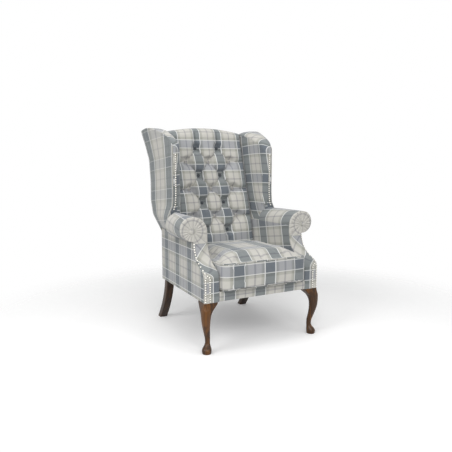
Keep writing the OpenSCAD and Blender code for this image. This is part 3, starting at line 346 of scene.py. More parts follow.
# %% Plaid cloth
WARP, WEFT = 0.180, 0.171
WARP_HALF, WEFT_HALF, LINE = 0.0300, 0.0245, 0.0050
CREAM, WHITE = (0.490, 0.478, 0.440), (0.640, 0.645, 0.640)
WARP_DARK, WEFT_DARK = (0.385, 0.432, 0.475), (0.650, 0.680, 0.765)
TAUPE, GREY, CLEAR = (0.78, 0.79, 0.77), (0.72, 0.72, 0.76), (1.0, 1.0, 1.0)
OUTLINE = (0.56, 0.58, 0.57)
WARP_LINE, WEFT_LINE = 0.82, 0.62
WEAVE = 2 * np.pi / 0.0022


def stripe_stops(half, dark, period):
    """Stops from the middle of the slate band outwards, as (share of the half period, tint)."""
    edge, top = half + LINE, period / 2
    tints = [
        (0.0, dark), (half, dark), (half + 0.0005, CLEAR), (edge, CLEAR),
        (edge + 0.0004, OUTLINE), (edge + 0.0022, OUTLINE), (edge + 0.0030, TAUPE),
        (edge + 0.0130, TAUPE), (edge + 0.0190, CLEAR),
        (top - 0.0050, CLEAR), (top - 0.0030, GREY), (top, GREY),
    ]
    return [(place / top, tint) for place, tint in tints]


def from_band(along, period):
    """Distance from the middle of the nearest slate band, which lies at 0 of the cloth."""
    return abs((along / period + 0.5).fract() - 0.5) * period


def plaid(name, ply=1.0, tone=1.0, weft=1.0):
    """The plaid on a piece's own cloth coordinates. Ply makes the yarn's relief coarser, tone the
    cloth darker, and a weft below 1 fades the cross stripes, as small gathers do."""
    f = Finish(name)
    place = f.cloth_place()
    u, v, _ = f.xyz(place)
    across, along = from_band(u, WARP), from_band(v, WEFT)
    warp_ramp = f.ramp(across / (WARP / 2), stripe_stops(WARP_HALF, WARP_DARK, WARP))
    weft_ramp = f.ramp(along / (WEFT / 2), stripe_stops(WEFT_HALF, WEFT_DARK, WEFT))
    if weft < 1:
        weft_ramp = f.mix(weft, CLEAR, weft_ramp)
    ground = f.mix(1.0, f.mix(1.0, CREAM, warp_ramp, how="MULTIPLY"), weft_ramp, how="MULTIPLY")
    lines = [
        1.0 - abs(d - (half + LINE / 2)).ramp_from(LINE / 2 - 0.0006, LINE / 2 + 0.0004)
        for d, half in ((across, WARP_HALF), (along, WEFT_HALF))
    ]
    striped = f.mix((lines[0] * WARP_LINE).highest(lines[1] * (WEFT_LINE * weft)), ground, WHITE)
    wool = f.noise(place, 420.0, 3.0, 0.6)
    clouds = f.noise(place, 34.0, 2.0)
    slub = f.noise(f.stretched(place, (2600.0, 180.0, 1.0)), 1.0, 1.0)
    colour = f.dimmed(striped, (0.86 + 0.14 * wool + 0.10 * clouds + 0.06 * slub) * tone)
    fine, coarse = WEAVE * ply, WEAVE * ply * 0.5
    twill = (((u + v) * fine).sin() * ((u - v) * coarse).sin()) * 0.5 + 0.5
    normal = f.bump(twill * 0.5 + wool * 0.7, 0.0006 * ply, 0.55)
    return f.shade(
        base_color=colour, roughness=0.86, sheen_weight=0.3, sheen_roughness=0.55,
        specular_ior_level=0.25, normal=normal,
    )


PLAID = plaid("plaid_cloth")
GATHERED_PLAID = plaid("gathered_plaid", weft=0.45)
PIPING_PLAID = plaid("piping_plaid", ply=0.8, tone=0.9)
# Cord cloth darkened to paint the shade in the low seam between the cushion and the front band.
SHADED_PIPING = plaid("shaded_piping", ply=0.8, tone=0.62)
# Cloth darkened to paint the shade in the deep hollows round the inner buttons.
SHADED_BUTTON_PLAID = plaid("shaded_button_plaid", ply=0.8, tone=0.42)
print("finishes: plaid_cloth, gathered_plaid, piping_plaid, shaded_piping, shaded_button_plaid")

# %% [markdown]
# ## Wood, metal and the hidden cloths
# The show legs are stained and satin varnished: a brown ground with long darker grain and a thin
# coat that catches the light. The frame inside is raw beech with its small flecks. The hidden
# cloths are weaves of their own: open jute, matted felt and the thin black cloth under the seat.

# %% Woods
ALONG_GRAIN = (1.0, 1.0, 0.06)


def wood(name, light, dark, rings, roughness, coat, flecks=0.0):
    """Grain from the sine of noise that is drawn out along the piece's height."""
    f = Finish(name)
    place = f.place()
    along = f.stretched(place, ALONG_GRAIN)
    flow = f.noise(along, 22.0, 3.0, 0.6)
    bands = ((flow * rings + f.noise(along, 90.0, 2.0) * 1.5) * 6.2832).sin() * 0.5 + 0.5
    pores = f.noise(f.stretched(place, tuple(a * 9 for a in ALONG_GRAIN)), 160.0, 2.0)
    grain = bands * 0.55 + pores * 0.45
    between = tuple(mix(low, high, 0.6) for low, high in zip(dark, light))
    colour = f.ramp(grain, [(0.15, dark), (0.55, between), (0.9, light)])
    colour = f.dimmed(colour, 0.78 + 0.4 * f.noise(place, 9.0, 2.0))
    if flecks:
        spots = f.noise(f.stretched(place, (900.0, 900.0, 170.0)), 1.0, 0.0)
        colour = f.mix(spots.ramp_from(0.62, 0.72) * flecks, colour, dark)
    return f.shade(
        base_color=colour, roughness=roughness + (grain - 0.5) * 0.12, coat_weight=coat,
        coat_roughness=0.16, specular_ior_level=0.3, normal=f.bump(pores, 0.0004, 0.4),
    )


SHOW_WOOD = wood("stained_wood", (0.130, 0.048, 0.006), (0.022, 0.008, 0.001), 2.2, 0.36, 0.10)
DARK_WOOD = wood("dark_stained_wood", (0.050, 0.020, 0.005), (0.014, 0.005, 0.002), 2.2, 0.42, 0.08)
BEECH = wood("raw_beech", (0.62, 0.43, 0.25), (0.42, 0.27, 0.14), 1.6, 0.66, 0.0, flecks=0.5)


# %% Metals and hidden cloths
def metal(name, colour, roughness, worn, metallic=1.0):
    """Metal whose colour and gloss wander a little, as handling and plating leave it."""
    f = Finish(name)
    place = f.place()
    spots, broad = f.noise(place, 260.0, 3.0, 0.6), f.noise(place, 40.0, 2.0)
    tint = f.dimmed(colour, 1.0 - worn * 0.5 + worn * (spots * 0.6 + broad * 0.4))
    return f.shade(
        base_color=tint, metallic=metallic, roughness=roughness + spots * 0.15,
        normal=f.bump(spots, 0.0002, 0.3),
    )


def weave(name, colour, pitch, depth, gap_colour, gaps, matted=0.3):
    """Threads that cross at a right angle, worked out on the piece in three directions at once."""
    f = Finish(name)
    place = f.place()
    x, y, z = f.xyz(place)
    turn = 2 * np.pi / pitch
    one = ((x + y * 0.15) * turn).sin() * 0.5 + 0.5
    two = ((z + y * 0.98) * turn).sin() * 0.5 + 0.5
    fuzz = f.noise(place, 0.9 / pitch, 3.0, 0.65)
    tint = f.dimmed(colour, 0.8 + matted * fuzz + 0.15 * one)
    open_work = ((1.0 - one) * (1.0 - two)).ramp_from(0.55, 0.8)
    relief = one.highest(two) * 0.7 + fuzz * 0.5
    return f.shade(
        base_color=f.mix(open_work * gaps, tint, gap_colour), roughness=0.9,
        normal=f.bump(relief, depth, 0.7),
    )


NAIL = metal("nail_head", (0.80, 0.78, 0.72), 0.28, 0.2, metallic=0.5)
# A dark finish for the discs under the nails, which paint the shade round and between the heads.
NAIL_SHADE_RIM = metal("nail_shade_rim", (0.060, 0.057, 0.050), 0.55, 0.3, metallic=0.3)
STEEL = metal("spring_steel", (0.34, 0.35, 0.37), 0.34, 0.4)
ZIP_METAL = metal("zip_metal", (0.50, 0.42, 0.26), 0.32, 0.35)
HESSIAN = weave("jute_hessian", (0.52, 0.38, 0.20), 0.0030, 0.0008, (0.10, 0.07, 0.04), 0.8)
FELT = weave(
    "matted_felt", (0.40, 0.37, 0.33), 0.0120, 0.0010, (0.22, 0.20, 0.19), 0.25, matted=0.6
)
BLACK_CLOTH = weave(
    "black_cloth", (0.030, 0.030, 0.034), 0.0016, 0.0003, (0.010, 0.010, 0.011), 0.6
)
DECK_CLOTH = weave("deck_cloth", (0.46, 0.45, 0.42), 0.0018, 0.0004, (0.20, 0.20, 0.19), 0.4)
print("finishes: woods, metals, hidden cloths")

# %% [markdown]
# ## The buttoned back
# Deep buttoning is what gives this chair its comfort. Twine pulls each button to the hessian behind
# the stuffing, and the cloth between the buttons is folded into pleats that make diamond pillows.
# The pillow height here is a quarter circle of the distance to the nearest pleat, pulled down to
# nothing round each button. A fine grid takes the formula better than a sculpted mesh, because the
# buttons, the pleats and the plaid all come from the same lattice. Each diamond carries its own
# patch of cloth: the cutter's surplus is hidden in the folds, so the stripes jump a little there.

# %% Lattice of the buttons
BUTTON_DX, BUTTON_DZ, TOP_ROW, ROWS = 0.0715, 0.0793, 1.006, 7
TUFT, PLEAT, DIMPLE, FUNNEL = 0.035, 0.009, 0.0135, 0.042
PAD_FOOT = 0.3065
LOW_ROW = TOP_ROW - (ROWS - 1) * BUTTON_DZ
PILLOW = BUTTON_DX * BUTTON_DZ / np.hypot(BUTTON_DX, BUTTON_DZ)


def spot(column, row):
    """Place of a button, or of a half step of the lattice between two."""
    return column * BUTTON_DX, TOP_ROW - row * BUTTON_DZ


BUTTONS = [spot(x, row) for row in range(ROWS) for x in ((-1, 1) if row % 2 == 0 else (-2, 0, 2))]
BETWEEN = [
    (spot(x, row), spot(x + dx, row + dk), True)
    for row in range(0, ROWS, 2) for x in (-1, 1) for dx in (-1, 1) for dk in (-1, 1)
    if 0 <= row + dk < ROWS
]
OUTWARDS = (
    [(spot(x, 0), (x * BUTTON_DX, CHAIR_H), False) for x in (-1, 1)]
    + [(spot(x, ROWS - 1), (x * BUTTON_DX * 1.1, PAD_FOOT), False) for x in (-1, 1)]
    + [
        (spot(2 * x, row), (x * BACK_HALF, spot(0, row)[1]), False)
        for row in range(1, ROWS, 2) for x in (-1, 1)
    ]
)


def to_pleat(x, z, start, end):
    """Distance to a pleat's line, the share along it, and the side it lies on, +1 above."""
    (ax, az), (bx, bz) = start, end
    dx, dz = bx - ax, bz - az
    along = np.clip(((x - ax) * dx + (z - az) * dz) / (dx * dx + dz * dz), 0, 1)
    off_x, off_z = x - mix(ax, bx, along), z - mix(az, bz, along)
    return np.hypot(off_x, off_z), along, np.sign(off_z + 1e-9)


def tuft(x, z):
    """Rise of the pad over the button plane: the least rise that any pleat allows at that place.

    From a pleat it climbs as a quarter circle. The upper side folds over the lower one, so the
    valley is shifted down and the lip above it is fuller. Round a button all sinks in a funnel,
    with small puckers that run out from the button.
    """
    foot_share = (z - PAD_FOOT) / (LOW_ROW - PAD_FOOT)
    full = TUFT * np.interp(foot_share, [0, 0.35, 0.65, 1], [0.14, 0.4, 0.68, 1])
    rise = np.full(np.broadcast(x, z).shape, 1.0)
    for start, end, held in BETWEEN + OUTWARDS:
        distance, along, side = to_pleat(x, z, start, end)
        open_end = np.sin(np.pi / 2 * np.minimum(1, 3 * along))
        floor = PLEAT * (np.sin(np.pi * along) ** 0.7 if held else open_end)
        lip = PILLOW * np.where(side > 0, 0.82, 1.12)
        climb = bulge(distance / lip) ** 0.92
        rise = np.minimum(rise, mix(np.minimum(floor, full * 0.8), full, climb))
    rise = np.minimum(rise, full * mix(0.35, 1, bulge((BACK_HALF - abs(x)) / (PILLOW / 2))))
    spots = np.array(BUTTONS)
    off_x, off_z = x[..., None] - spots[:, 0], z[..., None] - spots[:, 1]
    near = np.hypot(off_x, off_z)
    nearest = near.argmin(-1)[..., None]
    near, off_x, off_z = (np.take_along_axis(a, nearest, -1)[..., 0] for a in (near, off_x, off_z))
    angle = np.arctan2(off_z, off_x)
    funnel = ease((near - DIMPLE) / (FUNNEL - DIMPLE)) ** 0.8
    puckers = 0.0011 * np.cos(11 * angle + 1.3 * np.sin(2 * angle))
    puckers *= np.exp(-((near - 0.022) / 0.011) ** 2)
    return rise * funnel + puckers * (near > DIMPLE) + 0.0004


print("buttons:", len(BUTTONS), "pleats:", len(BETWEEN) + len(OUTWARDS))


# %% The pad's surface, from the seat over the crest to the rear
POST_TOP = 1.0691
CREST_TURN = np.radians(np.linspace(4, 176, 44))


def crest_z(x):
    """Height of the back's crest, a little lower towards the wings."""
    return CHAIR_H - 0.025 * (x / BACK_HALF) ** 2


def back_surface(x, z_steps):
    """Front of the pad up to the top of the posts, then an arc over the crest to the rear face."""
    across, z = np.meshgrid(x, z_steps)
    rise = tuft(across, z)
    front = np.stack([across, plane_y(z) - rise, z], -1)
    top = POST_TOP + FIT
    rear_y = plane_y(top) + BACK_T - PANEL - FIT
    start = plane_y(top) - rise[-1]
    middle = rear_y - (BACK_T - PANEL - FIT + TUFT) / 2
    turn = CREST_TURN[:, None]
    lean_in = mix(start, 2 * middle - rear_y, ease(turn / (np.pi / 2)))
    reach = np.where(turn < np.pi / 2, middle - lean_in, rear_y - middle)
    rear_z = top + (crest_z(x) - top) * np.sin(turn)
    return np.concatenate([front, grid_of(x, middle - reach * np.cos(turn), rear_z)])


def patch_centre(x, z):
    """Middle of the diamond that a point lies in; half diamonds at the borders count as whole."""
    u, v = x / BUTTON_DX, (TOP_ROW - z) / BUTTON_DZ
    p, q = np.floor((u + v + 1) / 2) + 0.5, np.floor((u - v + 1) / 2) + 0.5
    column, row = p + q - 1, p - q
    ends, outer, side = (v < 0) | (v > ROWS - 1), abs(u) > 2, 2 * np.sign(u)
    column = np.where(ends, np.where(abs(u) < 1, 0, side), column)
    even_row = np.round(v / 2) * 2
    row = np.where(ends, np.clip(even_row, 0, ROWS - 1), np.where(outer, even_row, row))
    return spot(np.where(outer, side, column), row)


FULL_U, FULL_V, SEEN = WARP / (2 * BUTTON_DX), WEFT / 0.1335, 1.12


def pillow_cloth(x, z, cx, cz):
    """Cloth coordinates on a diamond, which shows its own part of the whole cloth."""
    flat_u = (cx - BUTTON_DX - 0.005) * FULL_U + (x - cx) * SEEN
    return np.stack([flat_u, (cz - 1.028) * FULL_V + (z - cz) * SEEN], -1)


STEP = 0.0030
xs = np.linspace(-BACK_HALF + FIT, BACK_HALF - FIT, int(2 * BACK_HALF / STEP))
zs = np.linspace(PAD_FOOT, POST_TOP, int((POST_TOP - PAD_FOOT) / STEP))
face = back_surface(xs, zs)
places = [0, len(zs) - 1, len(face) - 1]
lining_y = np.interp(
    np.arange(len(face)), places,
    [plane_y(PAD_FOOT) + PAD_D, plane_y(POST_TOP) + PAD_D, face[-1, 0, 1] - 0.001],
)
lining_z = np.interp(np.arange(len(face)), places, [PAD_FOOT, POST_TOP, POST_TOP])
lining_z[len(zs):] = POST_TOP + 0.0002
points, quads = thick(face, grid_of(face[..., 0], lining_y[:, None], lining_z[:, None]))
over_crest = POST_TOP + arc_length(face[len(zs) - 1:, len(xs) // 2])[1:]
flat_z = np.tile(np.repeat(np.concatenate([face[: len(zs), 0, 2], over_crest]), len(xs)), 2)
corner_x, corner_z = points[:, 0][quads], flat_z[quads]
centres = patch_centre(corner_x.mean(1, keepdims=True), corner_z.mean(1, keepdims=True))
cloth = pillow_cloth(corner_x, corner_z, *centres).reshape(-1, 2)
put("buttoned_back", points, quads, PLAID, cloth, ["inside_back"], fill=0.75)

# %% [markdown]
# ## The arms
# An arm is padded over a flat board: the cloth climbs the inner face, rolls over the top in one
# round of about a hand's breadth and is tacked below on the outside. Its section is two circles and
# a straight line, carried from the front to the wing, where the roll grows thinner and goes in
# under the wing. The stripes run round the roll, so the cloth's first coordinate is the depth and
# its second the length round the section.

# %% Section of the arm and how it dies into the wing
SWEEP = [
    (0, 0), (0.07, 0.035), (0.14, 0.14), (0.2, 0.31), (0.28, 0.5), (0.37, 0.66), (0.48, 0.79),
    (0.62, 0.9), (0.8, 0.97), (1, 1),
]
SWEEP_Z, SWEEP_RISE, PAD_Z = 0.385, 0.160, 0.2995
RAIL_TOP = ARM_RAIL_Z + ARM_RAIL_T
ARM_END, ROLL_RUN, ROLL_END = WING_Y + 0.020, 0.070, 0.35
ROLL_CORE = ROLL_IN[0] - 0.020
TIMBER_IN = HALF_W - PANEL - 0.040
LOW_ROWS, INNER_ROWS, OUTER_ROWS = 46, 30, 60


def arm_front(z):
    """Set-back of the arm's front at a height: an S from the seat's corner to the scroll."""
    return ARM_SETBACK * curve(SWEEP, (z - SWEEP_Z) / SWEEP_RISE, 0.05)


def arm_inner_x(z):
    """Half-width between the arms' inner faces: straight, then the inner circle of the roll."""
    x, centre, r = ROLL_IN
    return np.where(z < centre, ARM_IN, x - np.sqrt(np.maximum(r * r - (z - centre) ** 2, 0)))


def taper(x, y):
    """Moves a point sideways with depth: the inner face follows the seat, the rest the outside."""
    return x - y * mix(IN_TAPER, TAPER, np.clip((x - ARM_IN) / ROLL_IN[2], 0, 1))


def arm_section():
    """Points up the inner face, over both circles of the roll and back to the outer seam."""
    (xi, zi, ri), (xo, zo, ro) = ROLL_IN, ROLL_OUT
    low = grid_of(ARM_IN, np.linspace(PAD_Z, RAIL_TOP - 0.0012, LOW_ROWS))
    first = np.radians(np.linspace(176, 91, INNER_ROWS))
    inner = np.stack([xi + ri * np.cos(first), zi + ri * np.sin(first)], -1)
    seam = -np.degrees(np.arccos((HALF_W + FIT - xo) / ro))
    second = np.radians(np.linspace(88, seam, OUTER_ROWS))
    outer = np.stack([xo + ro * np.cos(second), zo + ro * np.sin(second)], -1)
    return np.concatenate([low, inner, outer])


def roll_narrowing(y):
    return np.clip((y - WING_Y + ROLL_RUN) / ROLL_RUN, 0, 1)


section = arm_section()
sec_x, sec_z = section[:, :1], section[:, 1:]
row = np.arange(len(section))[:, None]
is_low, is_inner = row < LOW_ROWS, row < LOW_ROWS + INNER_ROWS + 1
start = np.where(is_low, arm_front(sec_z), ARM_SETBACK) + FACING + FIT
end = np.where(is_low, plane_y(sec_z) + PAD_D, np.where(is_inner, ARM_END, WING_Y - FIT))
depth = mix(start, end, np.linspace(1, 0, 90)[None, :])
core_share = ease((sec_z - ARM_RAIL_Z) / (ROLL_OUT[1] - ARM_RAIL_Z))
core_line = mix(HALF_W + FIT, ROLL_CORE, core_share)
slim = mix(1, ROLL_END, roll_narrowing(depth))
wide_x = np.where(sec_x > core_line, mix(core_line, sec_x, slim), sec_x)
face = grid_of(taper(wide_x, depth), depth, sec_z)
print("arm section:", len(section), "points")

# %% The line round the timber inside the arm, and the piece
reach = ROLL_OUT[0] + 0.45 * ROLL_OUT[2]
rail_out = mix(reach, TIMBER_IN + 0.034, roll_narrowing(depth)) + FIT
core_x = TIMBER_IN - 0.0013 - FIT
top_z, under_z = RAIL_TOP + FIT, ARM_RAIL_Z - FIT
TOP_END, SIDE_END, ROUND = 9, 12, 16
k = ROUND * np.clip((row - LOW_ROWS) / (len(section) - 1 - LOW_ROWS), 0, 1)
back_under = mix(rail_out, HALF_W + FIT, (k - SIDE_END) / (ROUND - SIDE_END))
ring_x = np.where(k <= SIDE_END, rail_out, back_under)
ring_x = np.where(k <= TOP_END, mix(core_x, rail_out, k / TOP_END), ring_x)
ring_z = mix(top_z, under_z, np.clip((k - TOP_END) / (SIDE_END - TOP_END), 0, 1))
rear_x, rear_z = np.where(is_low, core_x, ring_x), np.where(is_low, sec_z, ring_z)
rear = grid_of(rear_x - TAPER * depth, depth, rear_z)

ARM_BANDS = ([0.106, 0.207, 0.355, 0.430], [0.213, 0.147, 0.033, -0.033])


def arm_warp(y, z):
    """First cloth coordinate on an arm, from the depth of its stripes in the photograph."""
    first, last = ARM_BANDS[0][0], ARM_BANDS[0][-1]
    lean = y - 0.2 * (np.minimum(z, 0.60) - 0.52)
    before = 0.8 * np.maximum(first - lean, 0)
    return np.interp(lean, *ARM_BANDS) + before - 0.85 * np.maximum(lean - last, 0)


round_arm = arc_length(face[:, -40])[:, None] + PAD_Z
arm_cloth = grid_of(arm_warp(depth, sec_z), round_arm - 0.466 + 0.15 * (depth - 0.2))
put_pair("arm_pad", *thick(face, rear), PLAID, arm_cloth, "inside_arm", fill=0.8)

# %% [markdown]
# ## Arm fronts, with the pleated scroll
# The front of each arm is covered by the same cloth, turned so that its grain lies slantwise, and
# ends above in a scroll. There the cloth is gathered into pleats that run to a small rosette. The
# pleats are a wave of the angle round the scroll's middle, strongest half way out and gone at the
# rim, where the front rounds over into the roll.

# %% Arm front
SCROLL = (0.3385, 0.588)
scroll_turn = np.radians(np.linspace(4, 174, 70))
low_z = np.linspace(BASE_H, ROLL_OUT[1] - ROLL_OUT[2] - 0.002, 90)
high_z = ROLL_OUT[1] - ROLL_OUT[2] * np.cos(scroll_turn)
z = np.concatenate([low_z, high_z])[:, None]
row = np.arange(len(z))[:, None]
left_edge = np.where(row < len(low_z), ARM_IN, arm_inner_x(z))
round_x = ROLL_OUT[0] + ROLL_OUT[2] * np.sin(scroll_turn)
right_round = np.append(np.full_like(low_z, HALF_W), round_x)
step_in = ease((row - len(low_z) + 3) / 6)
right_edge = np.where(row < len(low_z), HALF_W, mix(HALF_W, right_round[:, None], step_in))
x = mix(left_edge, right_edge, np.linspace(0, 1, 61)[None, :])
crown = np.minimum(np.minimum(x - left_edge, right_edge - x), np.where(z > 0.56, ARM_H - z, 1))
roundness, inside = 1 - bulge(crown / 0.013), ease(crown / 0.012)
off_x, off_z = x - SCROLL[0], z - SCROLL[1]
from_middle, spin = np.hypot(off_x, off_z), np.arctan2(off_z, off_x)
pleat_turn = 8 * spin + 1.3 * np.sin(2 * spin + 0.7)
in_scroll = ease((z - 0.515) / 0.03) * inside
pleats = abs(np.sin(pleat_turn)) ** 0.6 * ease((from_middle - 0.008) / 0.02)
dish = 0.0045 * np.exp(-((from_middle / 0.016) ** 2))
slant_folds = 0.0009 * np.sin((x * 0.8 + z) * 170) * ease((z - 0.40) / 0.05) * inside
puff = 0.0046 * (in_scroll * pleats - in_scroll) + dish * in_scroll + slant_folds * (1 - in_scroll)
y = arm_front(z) + roundness * FACING * 0.62 - puff - 0.0004 * in_scroll
rear_y = arm_front(z) + FACING - FIT
points, quads = thick(grid_of(taper(x, y), y, z), grid_of(taper(x, rear_y), rear_y, z))


def front_cloth(x, z):
    """The grain turns from upright at the foot to a slant of 45 degrees; the scroll is its own."""
    turn = np.radians(45) * ease((z - 0.375) / 0.06)
    across, up = x - 0.257, z - 0.330
    flat_u = across * np.cos(turn) - up * np.sin(turn)
    flat_v = up * np.cos(turn) + across * np.sin(turn)
    share = (z > 0.524) * 1.0
    round_u = 0.084 + 0.022 * np.sin(pleat_turn)
    return grid_of(mix(flat_u, round_u, share), mix(flat_v, from_middle + 0.030, share))


put_pair("arm_front", points, quads, PLAID, front_cloth(x, z), "arm_facing", fill=0.8)

# %% [markdown]
# ## Wings
# A wing is a padded board that stands on the arm. Its inner face is flat and full, rounds over at
# the front and the top, and meets the outer panel in a seam that the nails follow. The outer panel
# is gathered: small upright folds run from the flare at the top down to the arm. Both are grids of
# a share of the depth and a share of the height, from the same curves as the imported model's.

# %% Curves of the wing
WING_DROP, WING_T, WING_LIP, WING_GAP, SOLID = 0.118, 0.050, 0.006, 0.0015, 1.04
WING_TOP = [
    (0, 0), (0.03, 0.17), (0.085, 0.36), (0.143, 0.47), (0.25, 0.62), (0.37, 0.76), (0.5, 0.89),
    (0.6, 0.98), (0.75, 1), (0.9, 0.93), (1, 0.86),
]
WING_EDGE = [
    (0.845, 1.0), (0.874, 1.05), (0.912, 1.09), (0.962, 1.084), (1.003, 1.048), (1.049, 1.003),
    (1.14, 0.99), (1.8, 0.99),
]
BACK_EDGE = [
    (0, 1), (0.325, 1), (0.37, 1.054), (0.437, 1.128), (0.527, 1.138), (0.654, 1.098),
    (0.794, 1.08), (0.898, 1.125), (0.979, 1.17), (1.1, 1.17),
]
WING_REAR = plane_y(WING_H) + BACK_T
WING_SIDE = HALF_W - TAPER * WING_Y


def wing_top(y):
    """Height of the wing's top edge: a quick rise in front and a long shoulder behind."""
    share = (y - WING_Y) / (WING_REAR - WING_Y)
    return WING_H - WING_DROP * (1 - curve(WING_TOP, share, 0.02))


def back_edge_x(z):
    return REAR_W / 2 * curve(BACK_EDGE, (z - BASE_H) / (WING_H - BASE_H), 0.012)


def wing_edge_x(z):
    return WING_SIDE * curve(WING_EDGE, z / ARM_H, 0.012)


def cloth_rear(z):
    """Depth of the cover's rear edge, behind the back's lean."""
    return plane_y(z) + BACK_T - PANEL - FIT


def wing_share(y, z):
    return np.clip((y - WING_Y) / (cloth_rear(z) - WING_Y), 0, 1)


def wing_out_x(y, z):
    """Outer face: from the front edge's line to the outline of the outside back."""
    return mix(wing_edge_x(z), back_edge_x(z), ease(wing_share(y, z)))


def wing_in_x(y, z):
    """Inner face: it closes in towards the buttoned pad."""
    front = WING_SIDE * 0.99 - WING_T
    return mix(front, BACK_HALF, np.clip(1.15 * wing_share(y, z), 0, 1))


def roll_top(x, y):
    """Top of the roll of the arm beside the wing."""
    c = (TAPER - IN_TAPER) / ROLL_IN[2]
    u = (x + y * (IN_TAPER - c * ARM_IN)) / (1 - y * c)
    d = np.clip(ROLL_IN[0] - u, 0, ROLL_IN[2])
    return np.where(u > ROLL_CORE, ARM_H, ROLL_IN[1] + np.sqrt(ROLL_IN[2] ** 2 - d * d))


print(f"wing rear: {WING_REAR:.4f}, top at the front: {float(wing_top(WING_Y)):.4f}")

# %% Inner wing
WING_COLUMNS = [
    (0, 0), (0.1, 0), (0.27, 0), (0.47, 0), (0.68, 0), (0.75, 0), (0.96, 0), (1.02, 0), (1.02, 0.2),
    (1.02, 0.4), (1.02, 0.6), (1.02, 0.8), (1.02, 1),
]
WING_ROWS = [
    (0, SOLID), (0.1, SOLID), (0.3, SOLID), (0.55, SOLID), (0.78, SOLID), (1, SOLID), (1, 0.98),
    (1, 0.68), (1, 0.45), (1, 0.25), (1, 0.1), (1, 0),
]
TOP_START, FRONT_END, ROUNDING_ROW = 5, 5, 40
column_shares, column_at = refine(WING_COLUMNS, 7)
row_shares, row_at = refine(WING_ROWS, 8)
ahead, behind = column_shares.T[:, None]
climb, below = row_shares.T[:, :, None]
solid_row = np.clip(row_at - TOP_START, 0, 1)[:, None]
solid_column = np.clip(FRONT_END - column_at, 0, 1)[None, :]
solid = np.maximum(solid_row, solid_column)
WOOD_X = WING_SIDE * curve(WING_EDGE, 1.2) - PANEL - WING_LIP / 2
TIMBER_X = WOOD_X - 0.024


def wing_depth(z):
    rear = plane_y(z) + mix(PAD_D, BACK_T - PANEL - FIT, solid_row)
    return mix(WING_Y + ahead * EDGE_R, rear, behind)


def wing_height(x):
    """Height of each row: from the roll or the rail that the wing stands on to its rounded top."""
    low = wing_top(wing_depth(WING_H - EDGE_R)) - EDGE_R * below
    on_roll = roll_top(x, wing_depth(ARM_H)) + 5 * FIT
    stand = np.where(column_at[None, :] < FRONT_END - 0.5, on_roll, RAIL_TOP + 2 * FIT)
    return np.where(climb < 1, mix(stand, low, climb), low)


guess_z = wing_height(TIMBER_X)
guess_y = wing_depth(guess_z)
swell = bulge((guess_y - WING_Y) / EDGE_R) * bulge((wing_top(guess_y) - guess_z) / EDGE_R)
edge_x = wing_out_x(guess_y, guess_z) - PANEL - WING_GAP - WING_LIP
skin_x = mix(edge_x, wing_in_x(guess_y, guess_z), swell)
skin_z = wing_height(skin_x)
skin = grid_of(skin_x, wing_depth(skin_z), skin_z)
solid_x = wing_out_x(skin[..., 1], wing_height(HALF_W)) - PANEL - WING_GAP
hollow_x = mix(TIMBER_X - FIT, solid_x, solid)
hollow_z = wing_height(hollow_x)
hollow = grid_of(hollow_x, wing_depth(hollow_z), hollow_z)
reach_in = arc_length(skin, 1)
reach_in[ROUNDING_ROW + 1:] = reach_in[ROUNDING_ROW]
slope = 0.177 * (skin_z - 0.86)
reach_up = arc_length(skin) + skin_z[:1] - 0.8325
wing_cloth = grid_of(reach_in - 0.039 - slope, reach_up)
points, quads = thick(skin[:, ::-1], hollow[:, ::-1])
put_pair("wing_pad", points, quads, PLAID, wing_cloth[:, ::-1], "inside_wing", fill=0.8)

# %% Outer wing, gathered
BEND_Z = LUMBAR_H + (BASE_D - BACK_T - BUTTON_Y) / LEAN
s, t = shares(110, 76)
panel_top = wing_top(mix(WING_Y + FIT, cloth_rear(WING_H - EDGE_R), t)) - FIT
z = mix(ARM_RAIL_Z + FIT, panel_top, s)
y = mix(WING_Y + FIT, cloth_rear(np.maximum(z, BEND_Z)), t)
gathers = np.sin(46 * t + 1.4 * np.sin(5 * t + 3 * s)) + 0.5 * np.sin(83 * t + 2 * s)
strength = ease(t / 0.06) * ease((1 - t) / 0.06) * ease((1 - s) / 0.05)
folds = 0.0008 * gathers * strength * (0.35 + 0.65 * ease((s - 0.55) / 0.4))
bow = 0.0035 * np.sin(np.pi * t) * ease((s - 0.1) / 0.2)
out_x = wing_out_x(y, z)
points, quads = thick(grid_of(out_x + folds + bow, y, z), grid_of(out_x - PANEL, y, z))
outer_cloth = grid_of((t - 0.16) * 0.259, z + 0.12 * (y - 0.5) - 0.752)
put_pair("wing_panel", points, quads, GATHERED_PLAID, outer_cloth, "outside_wing")

# %% Cloth that closes the wing's foot behind the roll
s, t = shares(16, 24)
z = mix(RAIL_TOP + 2 * FIT, 0.715, s)
x = mix(0.276, wing_edge_x(z) - PANEL - FIT, t)
foot_front = grid_of(x, WING_Y + 0.0045, z)
points, quads = thick(foot_front, foot_front + [0, 0.0012, 0])
put_pair("wing_foot", points, quads, PLAID, grid_of(x - 0.300, z - 0.640))

# %% [markdown]
# ## Outside panels
# The outsides of the arms and of the back are flat cloth over boards, closed along their edges by
# hand stitching. They are thin sheets with a slight fullness in the middle, as real cloth over
# wadding has, and edges that turn in. Below the cushion the front rail has a padded band.

# %% Outside arms
s, t = shares(60, 90)
z = mix(BASE_H, ARM_RAIL_Z - FIT, s)
y = mix(arm_front(z) + FACING, BASE_D - PANEL - 2 * FIT, t)
near_z, near_y = np.minimum(s, 1 - s), np.minimum(t, 1 - t)
full_z, full_y = bulge(s / 0.12) * bulge((1 - s) / 0.12), bulge(t / 0.08) * bulge((1 - t) / 0.08)
fullness = 0.0016 * full_z * full_y
edge_in = 0.0012 * (1 - bulge(np.minimum(near_z * 0.3, near_y * 0.46) / 0.004))
board_x = HALF_W - TAPER * y
points, quads = thick(grid_of(board_x - edge_in + fullness, y, z), grid_of(board_x - PANEL, y, z))
put_pair("arm_panel", points, quads, PLAID, grid_of((y - 0.185) * 1.07, z - 0.300), "outside_arm")

